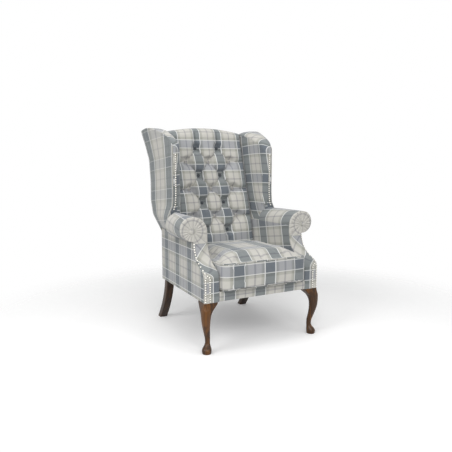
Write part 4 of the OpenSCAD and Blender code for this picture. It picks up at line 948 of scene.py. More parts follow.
# %% Outside back
SEAM_DROP, WIDE = 0.020, 1.17 * REAR_W / 2
s, t = shares(130, 101, -1)
x_flat = t * WIDE
crest_line = crest_z(np.clip(x_flat, -BACK_HALF, BACK_HALF)) - SEAM_DROP
beyond = (abs(x_flat) - BACK_HALF) / (WIDE - BACK_HALF)
shoulder = mix(crest_z(BACK_HALF) - SEAM_DROP, wing_top(WING_REAR) - SEAM_DROP / 2, beyond)
z = mix(BASE_H, np.where(abs(x_flat) < BACK_HALF, crest_line, shoulder), s)
x = t * back_edge_x(z)
y_rear = np.maximum(BASE_D, plane_y(z) + BACK_T)
rim = np.minimum(np.minimum(s, 1 - s) * 0.85, (1 - abs(t)) * 0.31)
full_y = y_rear + 0.0022 * bulge(rim / 0.05) - 0.0012 * (1 - bulge(rim / 0.004))
points, quads = thick(grid_of(x, full_y, z)[:, ::-1], grid_of(x, y_rear - PANEL, z)[:, ::-1])
put("back_panel", points, quads, PLAID, grid_of(x, z - 0.30)[:, ::-1], ["outside_back"])

# %% Front band below the cushion
BAND_TOP = PAD_FOOT - FIT
turn = np.radians(np.linspace(-90, 90, 25))[:, None]
z = mix(BASE_H, BAND_TOP, (1 + np.sin(turn)) / 2)
edge_x = ARM_IN - IN_TAPER * FACING - FIT
x = np.linspace(-edge_x, edge_x, 160)[None, :]
ripple = 0.0006 * np.sin(x * 95 + 1.2) * np.cos(turn)
front_y = 0.0004 + FACING * (1 - np.cos(turn) ** 0.35) * 0.93 + ripple
outer = grid_of(x, np.minimum(front_y, FACING - FIT - 0.0002), z)
band_cloth = grid_of((x + 0.022) * 1.02, z - BASE_H + 0.062)
points, quads = thick(outer, grid_of(x, FACING - FIT, z))
put("front_band", points, quads, PLAID, band_cloth, ["front_border"], fill=0.8)

# %% [markdown]
# ## Seat cushion
# The seat is a loose cushion: a border strip between two panels, with piping in both seams and a
# feather-topped crown. A cushion like this is made by filling a sewn case, so the mesh is made the
# same way: a slightly small closed case is blown up by the cloth solver, with the travel of every
# point capped, and then keeps that shape. Its cloth coordinates come last, from where each face
# looks: the top and the bottom are laid flat, and the border strip runs round the sides.

# %% Outline of the cushion
CUSHION_Z, CUSHION_H, CROWN_H, BULGE, OVERHANG = 0.3065, 0.131, 0.038, 0.006, 0.022
CUSHION_D, CORNER_R, CUSHION_GAP, GROOVE, CORD_R = 0.474, 0.042, 0.0045, 0.005, 0.0033
VOXEL, FRAMES, FARTHEST = 0.0055, 20, 0.024
SEAM_Z, LOW_SEAM_Z = CUSHION_Z + CUSHION_H, CUSHION_Z + 2 * GROOVE
FRONT_Y, REAR_Y = -OVERHANG, CUSHION_D - OVERHANG
MIDDLE_Y = (FRONT_Y + REAR_Y) / 2


def half_width(y):
    """Half-width of the cushion between the arms at a depth."""
    return ARM_IN - IN_TAPER * y - CUSHION_GAP


FRONT_HALF = half_width(FRONT_Y + CORNER_R) - CORNER_R


def cushion_outline(count=240):
    """Points of the seam and their outward directions, anticlockwise from the front right."""
    front, rear = FRONT_Y + CORNER_R, REAR_Y - CORNER_R
    rear_half = half_width(rear) - CORNER_R
    middles = [
        (FRONT_HALF, front, -90), (rear_half, rear, 0),
        (-rear_half, rear, 90), (-FRONT_HALF, front, 180),
    ]
    rounds = []
    for x, y, start in middles:
        a = np.radians(start + np.linspace(0, 90, 19))
        cos, sin = np.cos(a), np.sin(a)
        rounds.append(np.stack([x + CORNER_R * cos, y + CORNER_R * sin, cos, sin], -1))
    path = []
    for here, ahead in zip(rounds, rounds[1:] + rounds[:1]):
        step = np.linspace(0, 1, 40)[1:-1, None]
        side = mix(here[-1], ahead[0], step)
        side[:, :2] -= 0.003 * np.sin(np.pi * step) * side[:, 2:] * (abs(side[:, 3:]) < 0.9)
        path += [here, side]
    path = np.concatenate(path)
    run = np.insert(np.cumsum(np.linalg.norm(np.diff(path[:, :2], axis=0), axis=-1)), 0, 0)
    total = run[-1] + np.linalg.norm(path[0, :2] - path[-1, :2])
    path, run = np.concatenate([path, path[:1]]), np.append(run, total)
    at = np.linspace(0, total, count, endpoint=False)
    even = np.stack([np.interp(at, run, path[:, k]) for k in range(4)], -1)
    even[:, 2:] /= np.linalg.norm(even[:, 2:], axis=-1, keepdims=True)
    return even, at, total


outline, outline_run, outline_length = cushion_outline()
print("seam length:", round(float(outline_length), 3))

# %% The case before it is filled
def cushion_case(shrink, crown, levels=26):
    """Rings from the middle of the bottom over the border to the crown."""
    place, away = outline[:, :2], outline[:, 2:]
    centre = np.array([0.0, MIDDLE_Y])

    def ring(z, out=0.0, scale=1.0):
        flat = centre + (place - centre) * scale + away * (out - shrink)
        return np.concatenate([flat, np.full((len(flat), 1), z)], -1)

    def dome(share):
        ring_now = ring(0, 0, share)
        depth = (ring_now[:, 1] - MIDDLE_Y) / (REAR_Y - FRONT_Y) * 2
        wide = ring_now[:, 0] / half_width(ring_now[:, 1])
        height = (1 - abs(wide) ** 2.6) * (1 - abs(depth) ** 2.8)
        ring_now[:, 2] = SEAM_Z + crown * np.clip(height, 0, 1) ** 0.72
        return ring_now

    floor = [ring(CUSHION_Z + 0.0006, 0, s) for s in (0.15, 0.35, 0.55, 0.75, 0.9, 0.97)]
    border = [
        ring(mix(LOW_SEAM_Z - 0.004, SEAM_Z, k), BULGE * 0.7 * np.sin(np.pi * k) ** 0.8)
        for k in np.linspace(0, 1, 16)
    ]
    top = [dome(s) for s in np.linspace(0.985, 0.06, levels)]
    return np.stack(floor + border + top)


def filled(rings):
    """Closes the rings, remeshes the case evenly and blows it up with the cloth solver."""
    points, faces = tube(rings)
    case = put("seat_cushion_pad", points, faces, PLAID, slot=None, body="cushion")
    remesh = case.modifiers.new("even", "REMESH")
    remesh.mode, remesh.voxel_size, remesh.use_smooth_shade = "VOXEL", VOXEL, True
    bake(case)
    before = read_points(case)
    cloth = case.modifiers.new("filling", "CLOTH")
    cloth.settings.quality = 5
    cloth.settings.tension_stiffness = cloth.settings.compression_stiffness = 25
    cloth.settings.bending_stiffness = 1.5
    cloth.settings.use_pressure = True
    cloth.settings.uniform_pressure_force = 4.0
    cloth.settings.effector_weights.gravity = 0
    cloth.collision_settings.use_collision = False
    for step in range(FRAMES):
        scene.frame_set(step + 1)
    bake(case)
    after = read_points(case)
    scene.frame_set(1)
    moved = after - before
    length = np.linalg.norm(moved, axis=1, keepdims=True)
    return case, before + moved * np.minimum(1, FARTHEST / np.maximum(length, 1e-9))


def bake(piece):
    """Applies every modifier of a piece to its mesh."""
    shown = piece.evaluated_get(bpy.context.evaluated_depsgraph_get())
    mesh = bpy.data.meshes.new_from_object(shown)
    piece.modifiers.clear()
    piece.data = mesh
    mesh.shade_smooth()


def values_of(items, key, kind=np.float32):
    """One property of all of a mesh's points, corners or faces as an array."""
    width = 3 if key in ("co", "center") else 1
    values = np.empty(len(items) * width, kind)
    items.foreach_get(key, values)
    return values.reshape(-1, 3).astype(float) if width == 3 else values


def read_points(piece):
    return values_of(piece.data.vertices, "co")


def write_points(piece, places):
    piece.data.vertices.foreach_set("co", places.astype(np.float32).ravel())
    piece.data.update()


print("helpers: cushion_case, filled, bake")

# %% Fill it, rest it on the deck and draw in the seams
def nearest_out(places):
    """How far a point lies outside the outline, its outward direction and its run on the seam."""
    gaps = places[:, None, :2] - outline[None, :, :2]
    nearest = np.hypot(gaps[..., 0], gaps[..., 1]).argmin(1)
    gap = np.take_along_axis(gaps, nearest[:, None, None], 1)[:, 0]
    return (gap * outline[nearest, 2:]).sum(-1), outline[nearest, 2:], outline_run[nearest]


def front_fullness(y, z):
    """In front of the seat the border is fuller: it hangs over below and stands up above."""
    ahead = ease((-0.001 - y) / 0.012)
    return ahead * np.interp(z, [LOW_SEAM_Z, SEAM_Z, SEAM_Z + CROWN_H], [-0.0075, 0.0040, 0.0])


def settle(places):
    """Keeps the cushion in its space: flat below, within the arms, and drawn in at both seams."""
    out, away, _ = nearest_out(places)
    z = places[:, 2]
    near_low = np.exp(-(((z - LOW_SEAM_Z) / 0.004) ** 2))
    near_top = np.exp(-(((z - SEAM_Z) / 0.004) ** 2))
    forwards = abs(away[:, 1] * (away[:, 1] < 0))
    side_limit = mix(0.0035, BULGE, forwards) * bulge((z - CUSHION_Z) / 0.02)
    limit = side_limit - 0.0055 * np.maximum(near_low, near_top) * (out > -0.012)
    on_side = ease((z - CUSHION_Z - 0.004) / 0.006) * (z < SEAM_Z + 0.002) * (out > -0.035)
    held = mix(np.minimum(out, limit), limit - 0.12 * np.maximum(limit - out, 0), on_side)
    places[:, :2] += away * (held - out)[:, None]
    full = front_fullness(places[:, 1], z)
    places[:, 2] = np.minimum(np.maximum(z, CUSHION_Z + 0.0004) + full, SEAM_Z + CROWN_H + 0.010)
    return places


cushion, places = filled(cushion_case(0.008, CROWN_H * 0.72))
places = places - TO_FRAME
low = places[:, 2] < LOW_SEAM_Z
places[low, 2] = mix(places[low, 2], CUSHION_Z, 0.6)
places = settle(places)
write_points(cushion, places + TO_FRAME)
print("cushion:", len(places), "points, top at", round(float(places[:, 2].max()), 4))


# %% Cloth coordinates of the cushion
def lay_cushion_cloth(piece):
    """Flat on the top and the bottom, round the border strip on the sides, face by face."""
    mesh = piece.data
    corner = values_of(mesh.loops, "vertex_index", np.int32)
    sides = values_of(mesh.polygons, "loop_total", np.int32)
    owner = np.repeat(np.arange(len(sides)), sides)
    centres = values_of(mesh.polygons, "center") - TO_FRAME
    places = read_points(piece) - TO_FRAME
    out, _, middle_run = nearest_out(centres)
    strip = ((centres[:, 2] > LOW_SEAM_Z) & (centres[:, 2] < SEAM_Z) & (out > -0.02))[owner]
    half = outline_length / 2
    turn = (nearest_out(places)[2][corner] - middle_run[owner] + half) % outline_length - half
    run = (middle_run[owner] + FRONT_HALF + half) % outline_length - half + turn
    x, y, z = places[corner].T
    u = np.where(strip, run - 0.019, x - 0.081)
    v = np.where(strip, z - 0.404, y - 0.118)
    layer = mesh.uv_layers.new(name="cloth")
    layer.data.foreach_set("uv", np.stack([u, v], -1).astype(np.float32).ravel())
    return int(strip.sum())


print("corners on the border strip:", lay_cushion_cloth(cushion))
finer = cushion.modifiers.new("finer", "SUBSURF")
finer.levels = finer.render_levels = 1
bake(cushion)
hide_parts("seat_cushion")


# %% Piping in both seams
def hoop(rings, cloth):
    """A closed ring of rings, and cloth coordinates given on a grid one longer and one wider."""
    rows, columns = rings.shape[:2]
    faces = net(rows + 1, columns, True) % (rows * columns)
    return rings.reshape(-1, 3), faces, cloth.reshape(-1, 2)[net(rows + 1, columns + 1).ravel()]


def piping(height):
    """A covered cord along the seam, with the waves of one fed by hand, in the border's stripes."""
    a = np.linspace(0, 2 * np.pi, 13)[:-1]
    wave = 0.0003 * np.sin(outline_run * 61) + 0.0002 * np.sin(outline_run * 173 + 1)
    reach = (0.0006 + wave)[:, None] + CORD_R * np.cos(a)
    flat = outline[:, None, :2] + outline[:, None, 2:] * reach[..., None]
    rise = height + (wave * 0.5)[:, None] + CORD_R * np.sin(a)
    rise = rise + front_fullness(flat[..., 1], rise)
    rings = grid_of(flat[..., 0], flat[..., 1], rise)
    run = np.append(outline_run, outline_length)[:, None]
    round_it = np.linspace(0, 2 * np.pi * CORD_R, 13)[None, :]
    return hoop(rings[:, ::-1], grid_of(run + FRONT_HALF - 0.019, 0.075 + round_it))


# The bottom cord takes the darkened cloth, which paints the shade in the low seam.
for name, height, finish in (("top", SEAM_Z, PIPING_PLAID), ("bottom", LOW_SEAM_Z, SHADED_PIPING)):
    node = f"cushion_piping_{name}"
    points, faces, cloth = piping(height)
    put(f"{node}_cord", points, faces, finish, cloth, [node], body="cushion")

# %% [markdown]
# ## Deck, buttons and small parts
# Under the cushion lies the deck, a flat pad of plain lining over the felt. The buttons are shells
# covered in the cloth: a dome with a slight hollow, where the twine pulls the cover in. Every
# button is the same formula at another place, so they are worked out together as one array.

# %% Seat deck
low, high = box_of("seat_deck")
s, t = shares(60, 61, -1)
y = mix(FACING + 2 * FIT, high[1], s)
x = t * (ARM_IN - IN_TAPER * y - 2 * FIT)
rim = np.minimum(1 - abs(t), 2 * np.minimum(s, 1 - s)) * 0.25
quilt = 0.0005 * np.sin(x * 60) * np.sin(y * 60 + 1)
top = high[2] - 0.0012 - 0.004 * (1 - bulge(rim / 0.006)) + quilt * ease(rim / 0.02)
points, quads = thick(grid_of(x, y, top), grid_of(x, y, low[2]))
put("seat_deck_pad", points, quads, DECK_CLOTH, grid_of(x - 0.081, y), ["seat_deck"], fill=0.9)

# %% Covered buttons
def discs(middles, out, up, profile, sides):
    """One closed turned shape at each middle; profile is (radius, height) from rim to top."""
    radius, height = np.array(profile, float).T
    a = 2 * np.pi * np.arange(sides) / sides
    cos, sin = np.cos(a)[:, None], np.sin(a)[:, None]
    middles, out, up = middles[:, None, None], out[:, None, None], up[:, None, None]
    spread = cos * np.cross(up, out) + sin * up
    rings = middles + radius[:, None, None] * spread + height[:, None, None] * out
    foot, head = np.arange(sides)[::-1], (len(profile) - 1) * sides + np.arange(sides)
    start = (np.arange(len(middles)) * len(profile) * sides)[:, None]
    walls = (net(len(profile), sides, True) + start[..., None]).reshape(-1, 4)
    return rings.reshape(-1, 3), [walls, foot + start, head + start]


spots = np.array(BUTTONS)
lean = np.array([0.0, LEAN, 1.0]) / np.hypot(LEAN, 1)
outward = np.array([0.0, -1.0, LEAN]) / np.hypot(LEAN, 1)
middles = grid_of(spots[:, 0], plane_y(spots[:, 1]), spots[:, 1])
dome = [
    (0.0055, 0.0018), (0.0090, 0.0024), (0.0100, 0.0036), (0.0097, 0.0050), (0.0086, 0.0064),
    (0.0068, 0.0074), (0.0045, 0.0078), (0.0022, 0.0076), (0.0006, 0.0074),
]
BUTTON_SIDES = 28
# The buttons of the inner columns sit in the deepest hollows; their darkened cloth paints the shade
# there.
inner_columns = abs(abs(spots[:, 0]) - BUTTON_DX) < 0.01
for name, chosen, shift, finish in (
    ("inner", inner_columns, 0.0, SHADED_BUTTON_PLAID), ("outer", ~inner_columns, 0.085, PIPING_PLAID)
):
    ways = np.ones((chosen.sum(), 1))
    points, faces = discs(middles[chosen], ways * outward, ways * lean, dome, BUTTON_SIDES)
    own = np.repeat(spots[chosen], len(dome) * BUTTON_SIDES, axis=0)
    cloth = points[:, [0, 2]] - own + shift
    put(f"covered_buttons_{name}", points, faces, finish, cloth, ["back_buttons"], sharp=80)

# %% [markdown]
# ## Legs
# A cabriole leg is a run of rings. At the top the ring is a square, at the knee it has moved out to
# the corner and is rounding, and at the ankle and the pad foot it is a circle. A smooth cubic
# through the shares of each ring gives the flowing line that a carver makes with a spokeshave.

# %% Front legs
LEG_W, KNEE_OUT, ANKLE_R, FOOT_R, LEG_SIDES = 0.074, 0.034, 0.0125, 0.024, 64
LEG = [
    (1, 0, 1, 0.96), (0.965, 0.06, 0.97, 0.95), (0.93, 0.25, 0.88, 0.88), (0.89, 0.5, 0.77, 0.76),
    (0.85, 0.74, 0.66, 0.58), (0.78, 0.92, 0.54, 0.4), (0.7, 1, 0.47, 0.3), (0.6, 0.97, 0.42, 0.25),
    (0.5, 0.82, 0.36, 0.2), (0.4, 0.62, 0.31, 0.15), (0.3, 0.4, 0.265, 0.1), (0.22, 0.35, 0.24, 0),
]
FOOT = [
    (0.175, 0.4, 0.12), (0.14, 0.5, 0.42), (0.105, 0.62, 0.8), (0.07, 0.7, 1), (0.04, 0.7, 0.98),
    (0.012, 0.7, 0.88), (0, 0.7, 0.78),
]


def flowing(rows, steps):
    """A cubic through each column of rows whose slope at a row is that of its neighbours' chord."""
    rows = np.array(rows, float)
    slope = np.gradient(rows, axis=0)
    at = np.linspace(0, len(rows) - 1, (len(rows) - 1) * steps + 1)
    i = np.minimum(at.astype(int), len(rows) - 2)
    t = (at - i)[:, None]
    start = rows[i] * (1 + 2 * t) * (1 - t) ** 2 + slope[i] * t * (1 - t) ** 2
    return start + rows[i + 1] * t * t * (3 - 2 * t) + slope[i + 1] * t * t * (t - 1)


diagonal = LEG_W / np.sqrt(2)
upper = [(z, out, max(r * diagonal, ANKLE_R), square) for z, out, r, square in LEG]
lower = [(z, out, mix(ANKLE_R, FOOT_R, r), 0) for z, out, r in FOOT]
z, out, r, square = flowing((upper + lower)[::-1], 6).T
z = np.clip(z, 0, 1)[:, None] * BASE_H
shift = out[:, None] * KNEE_OUT / np.sqrt(2)
a = 2 * np.pi * (np.arange(LEG_SIDES) + 0.5)[None, :] / LEG_SIDES
to_square = abs(np.cos(a + np.pi / 4)) + abs(np.sin(a + np.pi / 4))
q = mix(r[:, None], r[:, None] / to_square, np.clip(square, 0, 1)[:, None])
ring_x = HALF_W - LEG_W / 2 + shift + q * np.cos(a)
ring_y = LEG_W / 2 - shift + q * np.sin(a)
points, faces = tube(grid_of(ring_x, ring_y, z))
put_pair("cabriole_leg", points, faces, SHOW_WOOD, None, "front_leg", slot="show_wood", sharp=50)

# %% Back posts, whose feet are the raked rear legs
POST_REAR, POST_IN, POST_OUT, KICK = BASE_D - PANEL - FIT, 0.2565, 0.2995, 0.120
POST_SEAT = box_of("back_post_right")[0][1]
POST_D = (POST_REAR - POST_SEAT) / 2
POST_FRONT = BACK_T - PANEL - FIT - POST_D
FRAME_Z = box_of("side_seat_rail_right")[0][2]
low, high = np.linspace(0, FRAME_Z, 40), np.linspace(FRAME_Z + 0.0004, POST_TOP, 70)
kick = KICK * (1 - np.clip(low / BASE_H, 0, 1)) ** 1.7
upper = plane_y(high) + POST_FRONT
front = np.concatenate([POST_REAR - POST_D + kick, np.maximum(POST_SEAT, upper)])
rear = np.concatenate([POST_REAR + kick, np.maximum(POST_REAR, upper + POST_D)])
z = np.concatenate([low, high])
edge_r, edge_steps = 0.0045, 6
a = np.radians(np.linspace(0, 90, edge_steps))
across, back = np.cos(a) * edge_r, np.sin(a) * edge_r
spots = [
    (POST_OUT - edge_r + across, 1, back - edge_r), (POST_IN + edge_r - back, 1, across - edge_r),
    (POST_IN + edge_r - across, 0, edge_r - back), (POST_OUT - edge_r + back, 0, edge_r - across),
]
section_x = np.concatenate([x for x, _, _ in spots])
at_rear = np.concatenate([np.full(edge_steps, side) for _, side, _ in spots])
inset = np.concatenate([shift for _, _, shift in spots])
ring_y = mix(front[:, None], rear[:, None], at_rear) + inset
points, faces = tube(grid_of(section_x, ring_y, z[:, None]))
put_pair("raked_post", points, faces, DARK_WOOD, None, "back_post", slot="show_wood", sharp=50)

# %% [markdown]
# ## Nail heads
# Rows of small pale nails close the edges of the arm fronts and the wings. Each nail is set on the
# cover itself: a ray from in front finds the place and the slope of the cloth, and the same low
# dome is turned to stand square on it, over a dark disc that paints the shade round the head and
# in the gaps between the nails.

# %% Nails on the cloth
NAIL_PITCH, NAIL_INSET, NAIL_SIDES = 0.0122, 0.0065, 10
# Profile of the dark disc under each head, which paints the shade round the nail.
NAIL_SHADE_DISC = [(0.0058, -0.0008), (0.0058, 0.0003), (0.0054, 0.0005)]
NAIL_DOME = [
    (0.0044, -0.0008), (0.0047, 0.0003), (0.0040, 0.0015), (0.0025, 0.0024), (0.0008, 0.0027),
]
IN_FRONT, BACKWARDS = -0.5, (0, 1, 0)


def row_of(path):
    """Evenly spaced points along a line through points of a plane."""
    path = np.array(path, float)
    run = np.insert(np.cumsum(np.hypot(*np.diff(path, axis=0).T)), 0, 0)
    at = np.linspace(0, run[-1], max(2, int(round(run[-1] / NAIL_PITCH)) + 1))
    return np.stack([np.interp(at, run, path[:, k]) for k in range(2)], -1)


def found_on(piece, starts, way):
    """Where rays from the starts meet a piece, and the outward slope there."""
    tree = BVHTree.FromObject(piece, bpy.context.evaluated_depsgraph_get())
    hits = [tree.ray_cast(Vector(start + TO_FRAME), Vector(way), 2.0)[:2] for start in starts]
    places, slopes = zip(*(hit for hit in hits if hit[0] is not None))
    return np.array(places) - TO_FRAME, np.array(slopes)


def nail_row(name, piece, x, z):
    """A row of nails over places of the right-hand piece's front, and its mirror image."""
    middles, out = found_on(piece, grid_of(x, IN_FRONT, z), BACKWARDS)
    up = np.cross(out, [0.3, 0.5, 0.8])
    up /= np.linalg.norm(up, axis=1, keepdims=True)
    # The dark discs paint the shade round each head and between the nails.
    points, faces = discs(middles, out, up, NAIL_SHADE_DISC, NAIL_SIDES)
    put_pair(f"{name}_rims", points, faces, NAIL_SHADE_RIM, slot="steel", sharp=80)
    points, faces = discs(middles, out, up, NAIL_DOME, NAIL_SIDES)
    put_pair(name, points, faces, NAIL, slot="steel", sharp=80)


front_right = bpy.data.objects["arm_front_right"]
wing_right = bpy.data.objects["wing_pad_right"]
strip = row_of([
    (0.3310, 0.263), (0.3310, 0.374), (0.327, 0.384), (0.319, 0.389), (0.311, 0.384),
    (0.3070, 0.374), (0.3070, 0.263),
])
nail_row("strip_nails", front_right, *strip.T)
edge = row_of([(0.3290, 0.400), (0.3285, 0.444), (0.3285, 0.478), (0.3270, 0.523)])
nail_row("edge_nails", front_right, *edge.T)
wing_z = np.arange(ARM_H + 0.016, wing_top(WING_Y) - EDGE_R, NAIL_PITCH)
wing_x = wing_edge_x(wing_z) - PANEL - WING_GAP - WING_LIP - NAIL_INSET
nail_row("wing_nails", wing_right, wing_x, wing_z)

# %% Rosettes of the scrolls
petals = np.linspace(0, 2 * np.pi, 41)[:-1]
radii = np.array([0.0112, 0.0118, 0.0108, 0.0085, 0.0055, 0.0030, 0.0008])
heights = np.array([-0.003, 0.0008, 0.0030, 0.0042, 0.0038, 0.0044, 0.0046])
flare = 1 + 0.10 * abs(np.sin(4 * petals))[None, :] * (radii > 0.004)[:, None]
centres, _ = found_on(front_right, grid_of(SCROLL[0], [IN_FRONT], SCROLL[1]), BACKWARDS)
x, y, z = centres[0]
ring_x = x + radii[:, None] * flare * np.cos(petals)
ring_z = z + radii[:, None] * flare * np.sin(petals)
points, faces = tube(grid_of(ring_x, y - heights[:, None], ring_z))
rosette_cloth = np.stack([points[:, 0] * 1.3 + 0.02, points[:, 2]], -1)
put_pair("scroll_rosette", points, faces, PLAID, rosette_cloth, sharp=80)

# %% [markdown]
# ## Hidden cloths
# A black cloth closes the chair from below, felt keeps the springs from cutting the deck, and jute
# behind the stuffing of the back and of the arms carries the twine, backed by crossed webbing. They
# hardly show, but each is a thin closed sheet of its own, a little slack between its tacks, from a
# share across and a share along. Where a leg goes through, the row of points is simply narrower.

# %% A lining from its edges
def lining(name, top, thickness, finish, stands_for, way=(0, 0, -1)):
    """A sheet of even thickness below or behind a grid of points; its area is the grid's own.
    """
    points, quads = thick(top, top + np.array(way) * thickness)
    slot = {FELT: "felt", HESSIAN: "hessian"}.get(finish, "black_cloth")
    piece = put(name, points, quads, finish, None, [stands_for], slot=slot)


share = np.linspace(-1, 1, 81)[None, :]

# %% Dust cover and felt
low, high = box_of("bottom_dust_cover")
STUMP_END, POST_FRONT = 0.110, 0.5617
y = np.concatenate([
    np.linspace(low[1], STUMP_END, 20), np.linspace(STUMP_END + 0.0004, POST_FRONT - 0.0004, 60),
    np.linspace(POST_FRONT, high[1], 10),
])[:, None]
half = np.where(y < POST_FRONT, HALF_W - TAPER * y - 0.005, POST_IN - FIT)
x = share * np.where(y <= STUMP_END, HALF_W - 0.079, half)
run = (y - low[1]) / (high[1] - low[1])
slack = 0.0045 * np.sin(np.pi * run) * np.cos(np.pi / 2 * share) ** 0.7
puckers = 0.0003 * np.sin(150 * y) * abs(share) ** 6 * (abs(share) < 1)
surface = grid_of(x, y, high[2] - FIT / 3 - slack - puckers - 0.0003)
lining(
    "dust_cover_cloth", surface, 0.0008, BLACK_CLOTH, "bottom_dust_cover",
)

low, high = box_of("seat_felt")
y = np.linspace(low[1], high[1], 70)[:, None]
x = share * (TIMBER_IN - FIT - TAPER * y)
matting = 0.00025 * np.sin(90 * x + 2 * np.sin(40 * y)) * np.sin(110 * y) - 0.00025
surface = grid_of(x, y, high[2] + matting)
lining("felt_layer", surface, 0.0014, FELT, "seat_felt")

# %% Jute of the back and of the arms
low, high = box_of("back_hessian")
z = np.linspace(low[2], high[2], 120)[:, None]
x = share * high[0]
knots = np.array(BUTTONS)
near = np.hypot(x[..., None] - knots[:, 0], z[..., None] - knots[:, 1]).min(-1)
drawn = 0.0002 * np.exp(-((near / 0.012) ** 2)) + 0.0001 * np.sin(60 * x) * np.sin(45 * z)
surface = grid_of(x, plane_y(z) + PAD_D + 0.0004 - drawn, z)
lining(
    "back_jute", surface, 0.0007, HESSIAN, "back_hessian",
    way=(0, 1, 0),
)

along = np.linspace(0, 1, 70)[None, :]
z = np.linspace(PAD_Z, RAIL_TOP, 60)[:, None]
y = mix(arm_front(z) + FACING + FIT, plane_y(z) + PAD_D, along)
ripple = 0.0001 * np.sin(70 * y) * np.sin(55 * z)
x = TIMBER_IN - FIT / 3 - TAPER * y - 0.0009 + ripple
surface = grid_of(x, y, z)[:, ::-1]
points, quads = thick(surface, surface + [0.0007, 0, 0])
put_pair("arm_jute", points, quads, HESSIAN, None, "arm_hessian", slot="hessian")
lengths, height = y[:, -1] - y[:, 0], RAIL_TOP - PAD_Z

# %% Webbing of the back
low, high = box_of("back_webbing")
WEB_W, WEB_T = 0.050, 0.0012
UPRIGHT_Y = PAD_D + 0.001 + 4 * FIT / 3
LEVEL_Y = UPRIGHT_Y + WEB_T + 2 * FIT / 3


def strap(start, end, depth):
    """A band between two (x, z) places of the back, thinner at its selvedges."""
    (x0, z0), (x1, z1) = start, end
    run, side = shares(90, 13, -1)
    upright = abs(z1 - z0) > abs(x1 - x0)
    x = mix(x0, x1, run) + (side * WEB_W / 2 if upright else 0)
    z = mix(z0, z1, run) + (0 if upright else -side * WEB_W / 2)
    rib = 0.0001 * np.cos(np.pi * 6 * side) + 0.00012 * (abs(side) > 0.9)
    front_y, rear_y = plane_y(z) + depth, plane_y(z) + depth + WEB_T
    return thick(grid_of(x, front_y + 0.0001 + rib, z), grid_of(x, rear_y - 0.0001 - rib, z))


bands = [
    strap((x, low[2]), (x, high[2]), UPRIGHT_Y)
    for x in (2.1 * WEB_W * k for k in (-1.5, -0.5, 0.5, 1.5))
]
bands += [
    strap((-high[0], z), (high[0], z), LEVEL_Y)
    for z in (mix(low[2], high[2], k / 6) for k in range(1, 6))
]
starts = np.cumsum([0] + [len(points) for points, _ in bands])
points = np.concatenate([points for points, _ in bands])
quads = np.concatenate([quads + start for (_, quads), start in zip(bands, starts)])
put("back_straps", points, quads, BLACK_CLOTH, None, ["back_webbing"], slot="black_cloth")

# %% [markdown]
# ## Parts whose shape is already right
# The timbers, springs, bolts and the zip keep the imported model's exact shape. Each takes the finish
# of what it is made of through the material slots of its mesh.

# %% Finishes of the remaining parts
KEPT = {
    BEECH: [
        "front_seat_rail", "back_seat_rail", "side_seat_rail_left", "side_seat_rail_right",
        "corner_blocks", "arm_stump_left", "arm_stump_right", "arm_rail_left", "arm_rail_right",
        "top_rail", "back_tack_rail", "wing_post_left", "wing_post_right", "wing_rail_left",
        "wing_rail_right",
    ],
    STEEL: ["leg_bolts", "seat_springs", "spring_clips"],
    BLACK_CLOTH: ["cushion_zip"],
    ZIP_METAL: ["zip_slider"],
}
for finish, names in KEPT.items():
    for name in names:
        materials = bpy.data.objects[name].data.materials
        materials.clear()
        materials.append(finish)
print("kept parts:", sum(len(names) for names in KEPT.values()))

# %% [markdown]
# ## Studio
# The photograph is a cut-out on white with a soft grey shadow on the floor. The floor is a plain
# white sheet. Broad panels stand on the left, in front and above, with a weak one on the right. The
# background is full white only where the camera or a reflection sees it, and gives the chair a
# weaker light, so that it doesn't wash the cloth out.

# %% Floor and background
FLOOR_GLOW, LIT_BY, SEEN_AS = 0.12, 0.38, 1.0
SEEN_BY = ("Is Camera Ray", "Is Glossy Ray", "Is Transmission Ray")


def floor_finish():
    """White near the chair, and gone further off, where the white background takes over."""
    f = Finish("floor_white")
    x, y, _ = f.xyz(f.place())
    away = ((x - 0.15) ** 2.0 + y ** 2.0) ** 0.5
    tone = 0.985 + 0.015 * f.noise(f.place(), 3.0)
    white = f.dimmed((0.95, 0.95, 0.95), tone)
    rays = [f.node("ShaderNodeLightPath", out=name) for name in SEEN_BY]
    camera_sees = rays[0].highest(rays[1]).highest(rays[2])
    glow = f.mix(camera_sees, (0.0, 0.0, 0.0), (FLOOR_GLOW,) * 3)
    return f.shade(
        base_color=white, roughness=0.95, specular_ior_level=0.1, emission_color=glow,
        emission_strength=1.0, alpha=1.0 - away.ramp_from(0.9, 1.9),
    )


points = [(-2.2, -2.2, 0), (2.4, -2.2, 0), (2.4, 2.4, 0), (-2.2, 2.4, 0)]
floor_mesh = bpy.data.meshes.new("studio_floor")
floor_mesh.from_pydata(points, [], [(0, 1, 2, 3)])
floor_mesh.materials.append(floor_finish())
floor = bpy.data.objects.new("studio_floor", floor_mesh)
scene.collection.objects.link(floor)

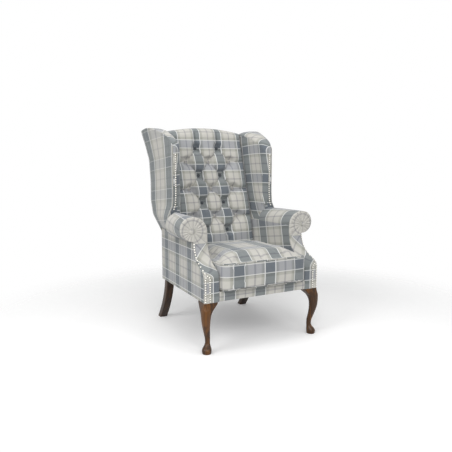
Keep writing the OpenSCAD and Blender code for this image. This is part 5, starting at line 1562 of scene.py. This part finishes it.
world = bpy.data.worlds.new("studio")
scene.world = world
world.use_nodes = True
tree = world.node_tree
tree.nodes.clear()
path = tree.nodes.new("ShaderNodeLightPath")
either = tree.nodes.new("ShaderNodeMixShader")
out = tree.nodes.new("ShaderNodeOutputWorld")
for place, strength in ((1, LIT_BY), (2, SEEN_AS)):
    light = tree.nodes.new("ShaderNodeBackground")
    light.inputs["Color"].default_value = (1, 1, 1, 1)
    light.inputs["Strength"].default_value = strength
    tree.links.new(light.outputs[0], either.inputs[place])
highest = path.outputs[SEEN_BY[0]]
for name in SEEN_BY[1:]:
    either_ray = tree.nodes.new("ShaderNodeMath")
    either_ray.operation = "MAXIMUM"
    tree.links.new(highest, either_ray.inputs[0])
    tree.links.new(path.outputs[name], either_ray.inputs[1])
    highest = either_ray.outputs[0]
tree.links.new(highest, either.inputs[0])
tree.links.new(either.outputs[0], out.inputs["Surface"])


# %% Lamps and camera
def panel(name, place, aim, size, power):
    """A square area lamp at a place, turned to face the aim."""
    lamp = bpy.data.lights.new(name, "AREA")
    lamp.shape, lamp.size, lamp.energy = "SQUARE", size, power
    made = bpy.data.objects.new(name, lamp)
    made.location = place
    made.rotation_euler = (Vector(aim) - Vector(place)).to_track_quat("-Z", "Y").to_euler()
    scene.collection.objects.link(made)


AIM = (0.0, 0.0, 0.5)
panel("top_light", (0.1, -0.1, 3.2), AIM, 1.6, 22)
panel("left_light", (-2.7, -0.9, 2.3), AIM, 1.6, 42)
panel("front_light", (-1.1, -3.0, 2.1), AIM, 2.0, 56)
panel("right_light", (1.2, -2.4, 2.4), AIM, 2.0, 14)

TURN, DIP = 0.5018, -0.1375
camera_data = bpy.data.cameras.new("photo_camera")
camera_data.lens, camera_data.sensor_width = 40.31, 36
camera_data.shift_x, camera_data.shift_y = -0.0047, 0.0125
camera = bpy.data.objects.new("photo_camera", camera_data)
camera.location = (-1.3639, -2.4778, 0.9287)
look = Vector((np.sin(TURN) * np.cos(DIP), np.cos(TURN) * np.cos(DIP), np.sin(DIP)))
camera.rotation_euler = look.to_track_quat("-Z", "Y").to_euler()
scene.collection.objects.link(camera)
scene.camera = camera
scene.view_settings.view_transform = "Standard"
print("camera at", tuple(round(value, 3) for value in camera.location))
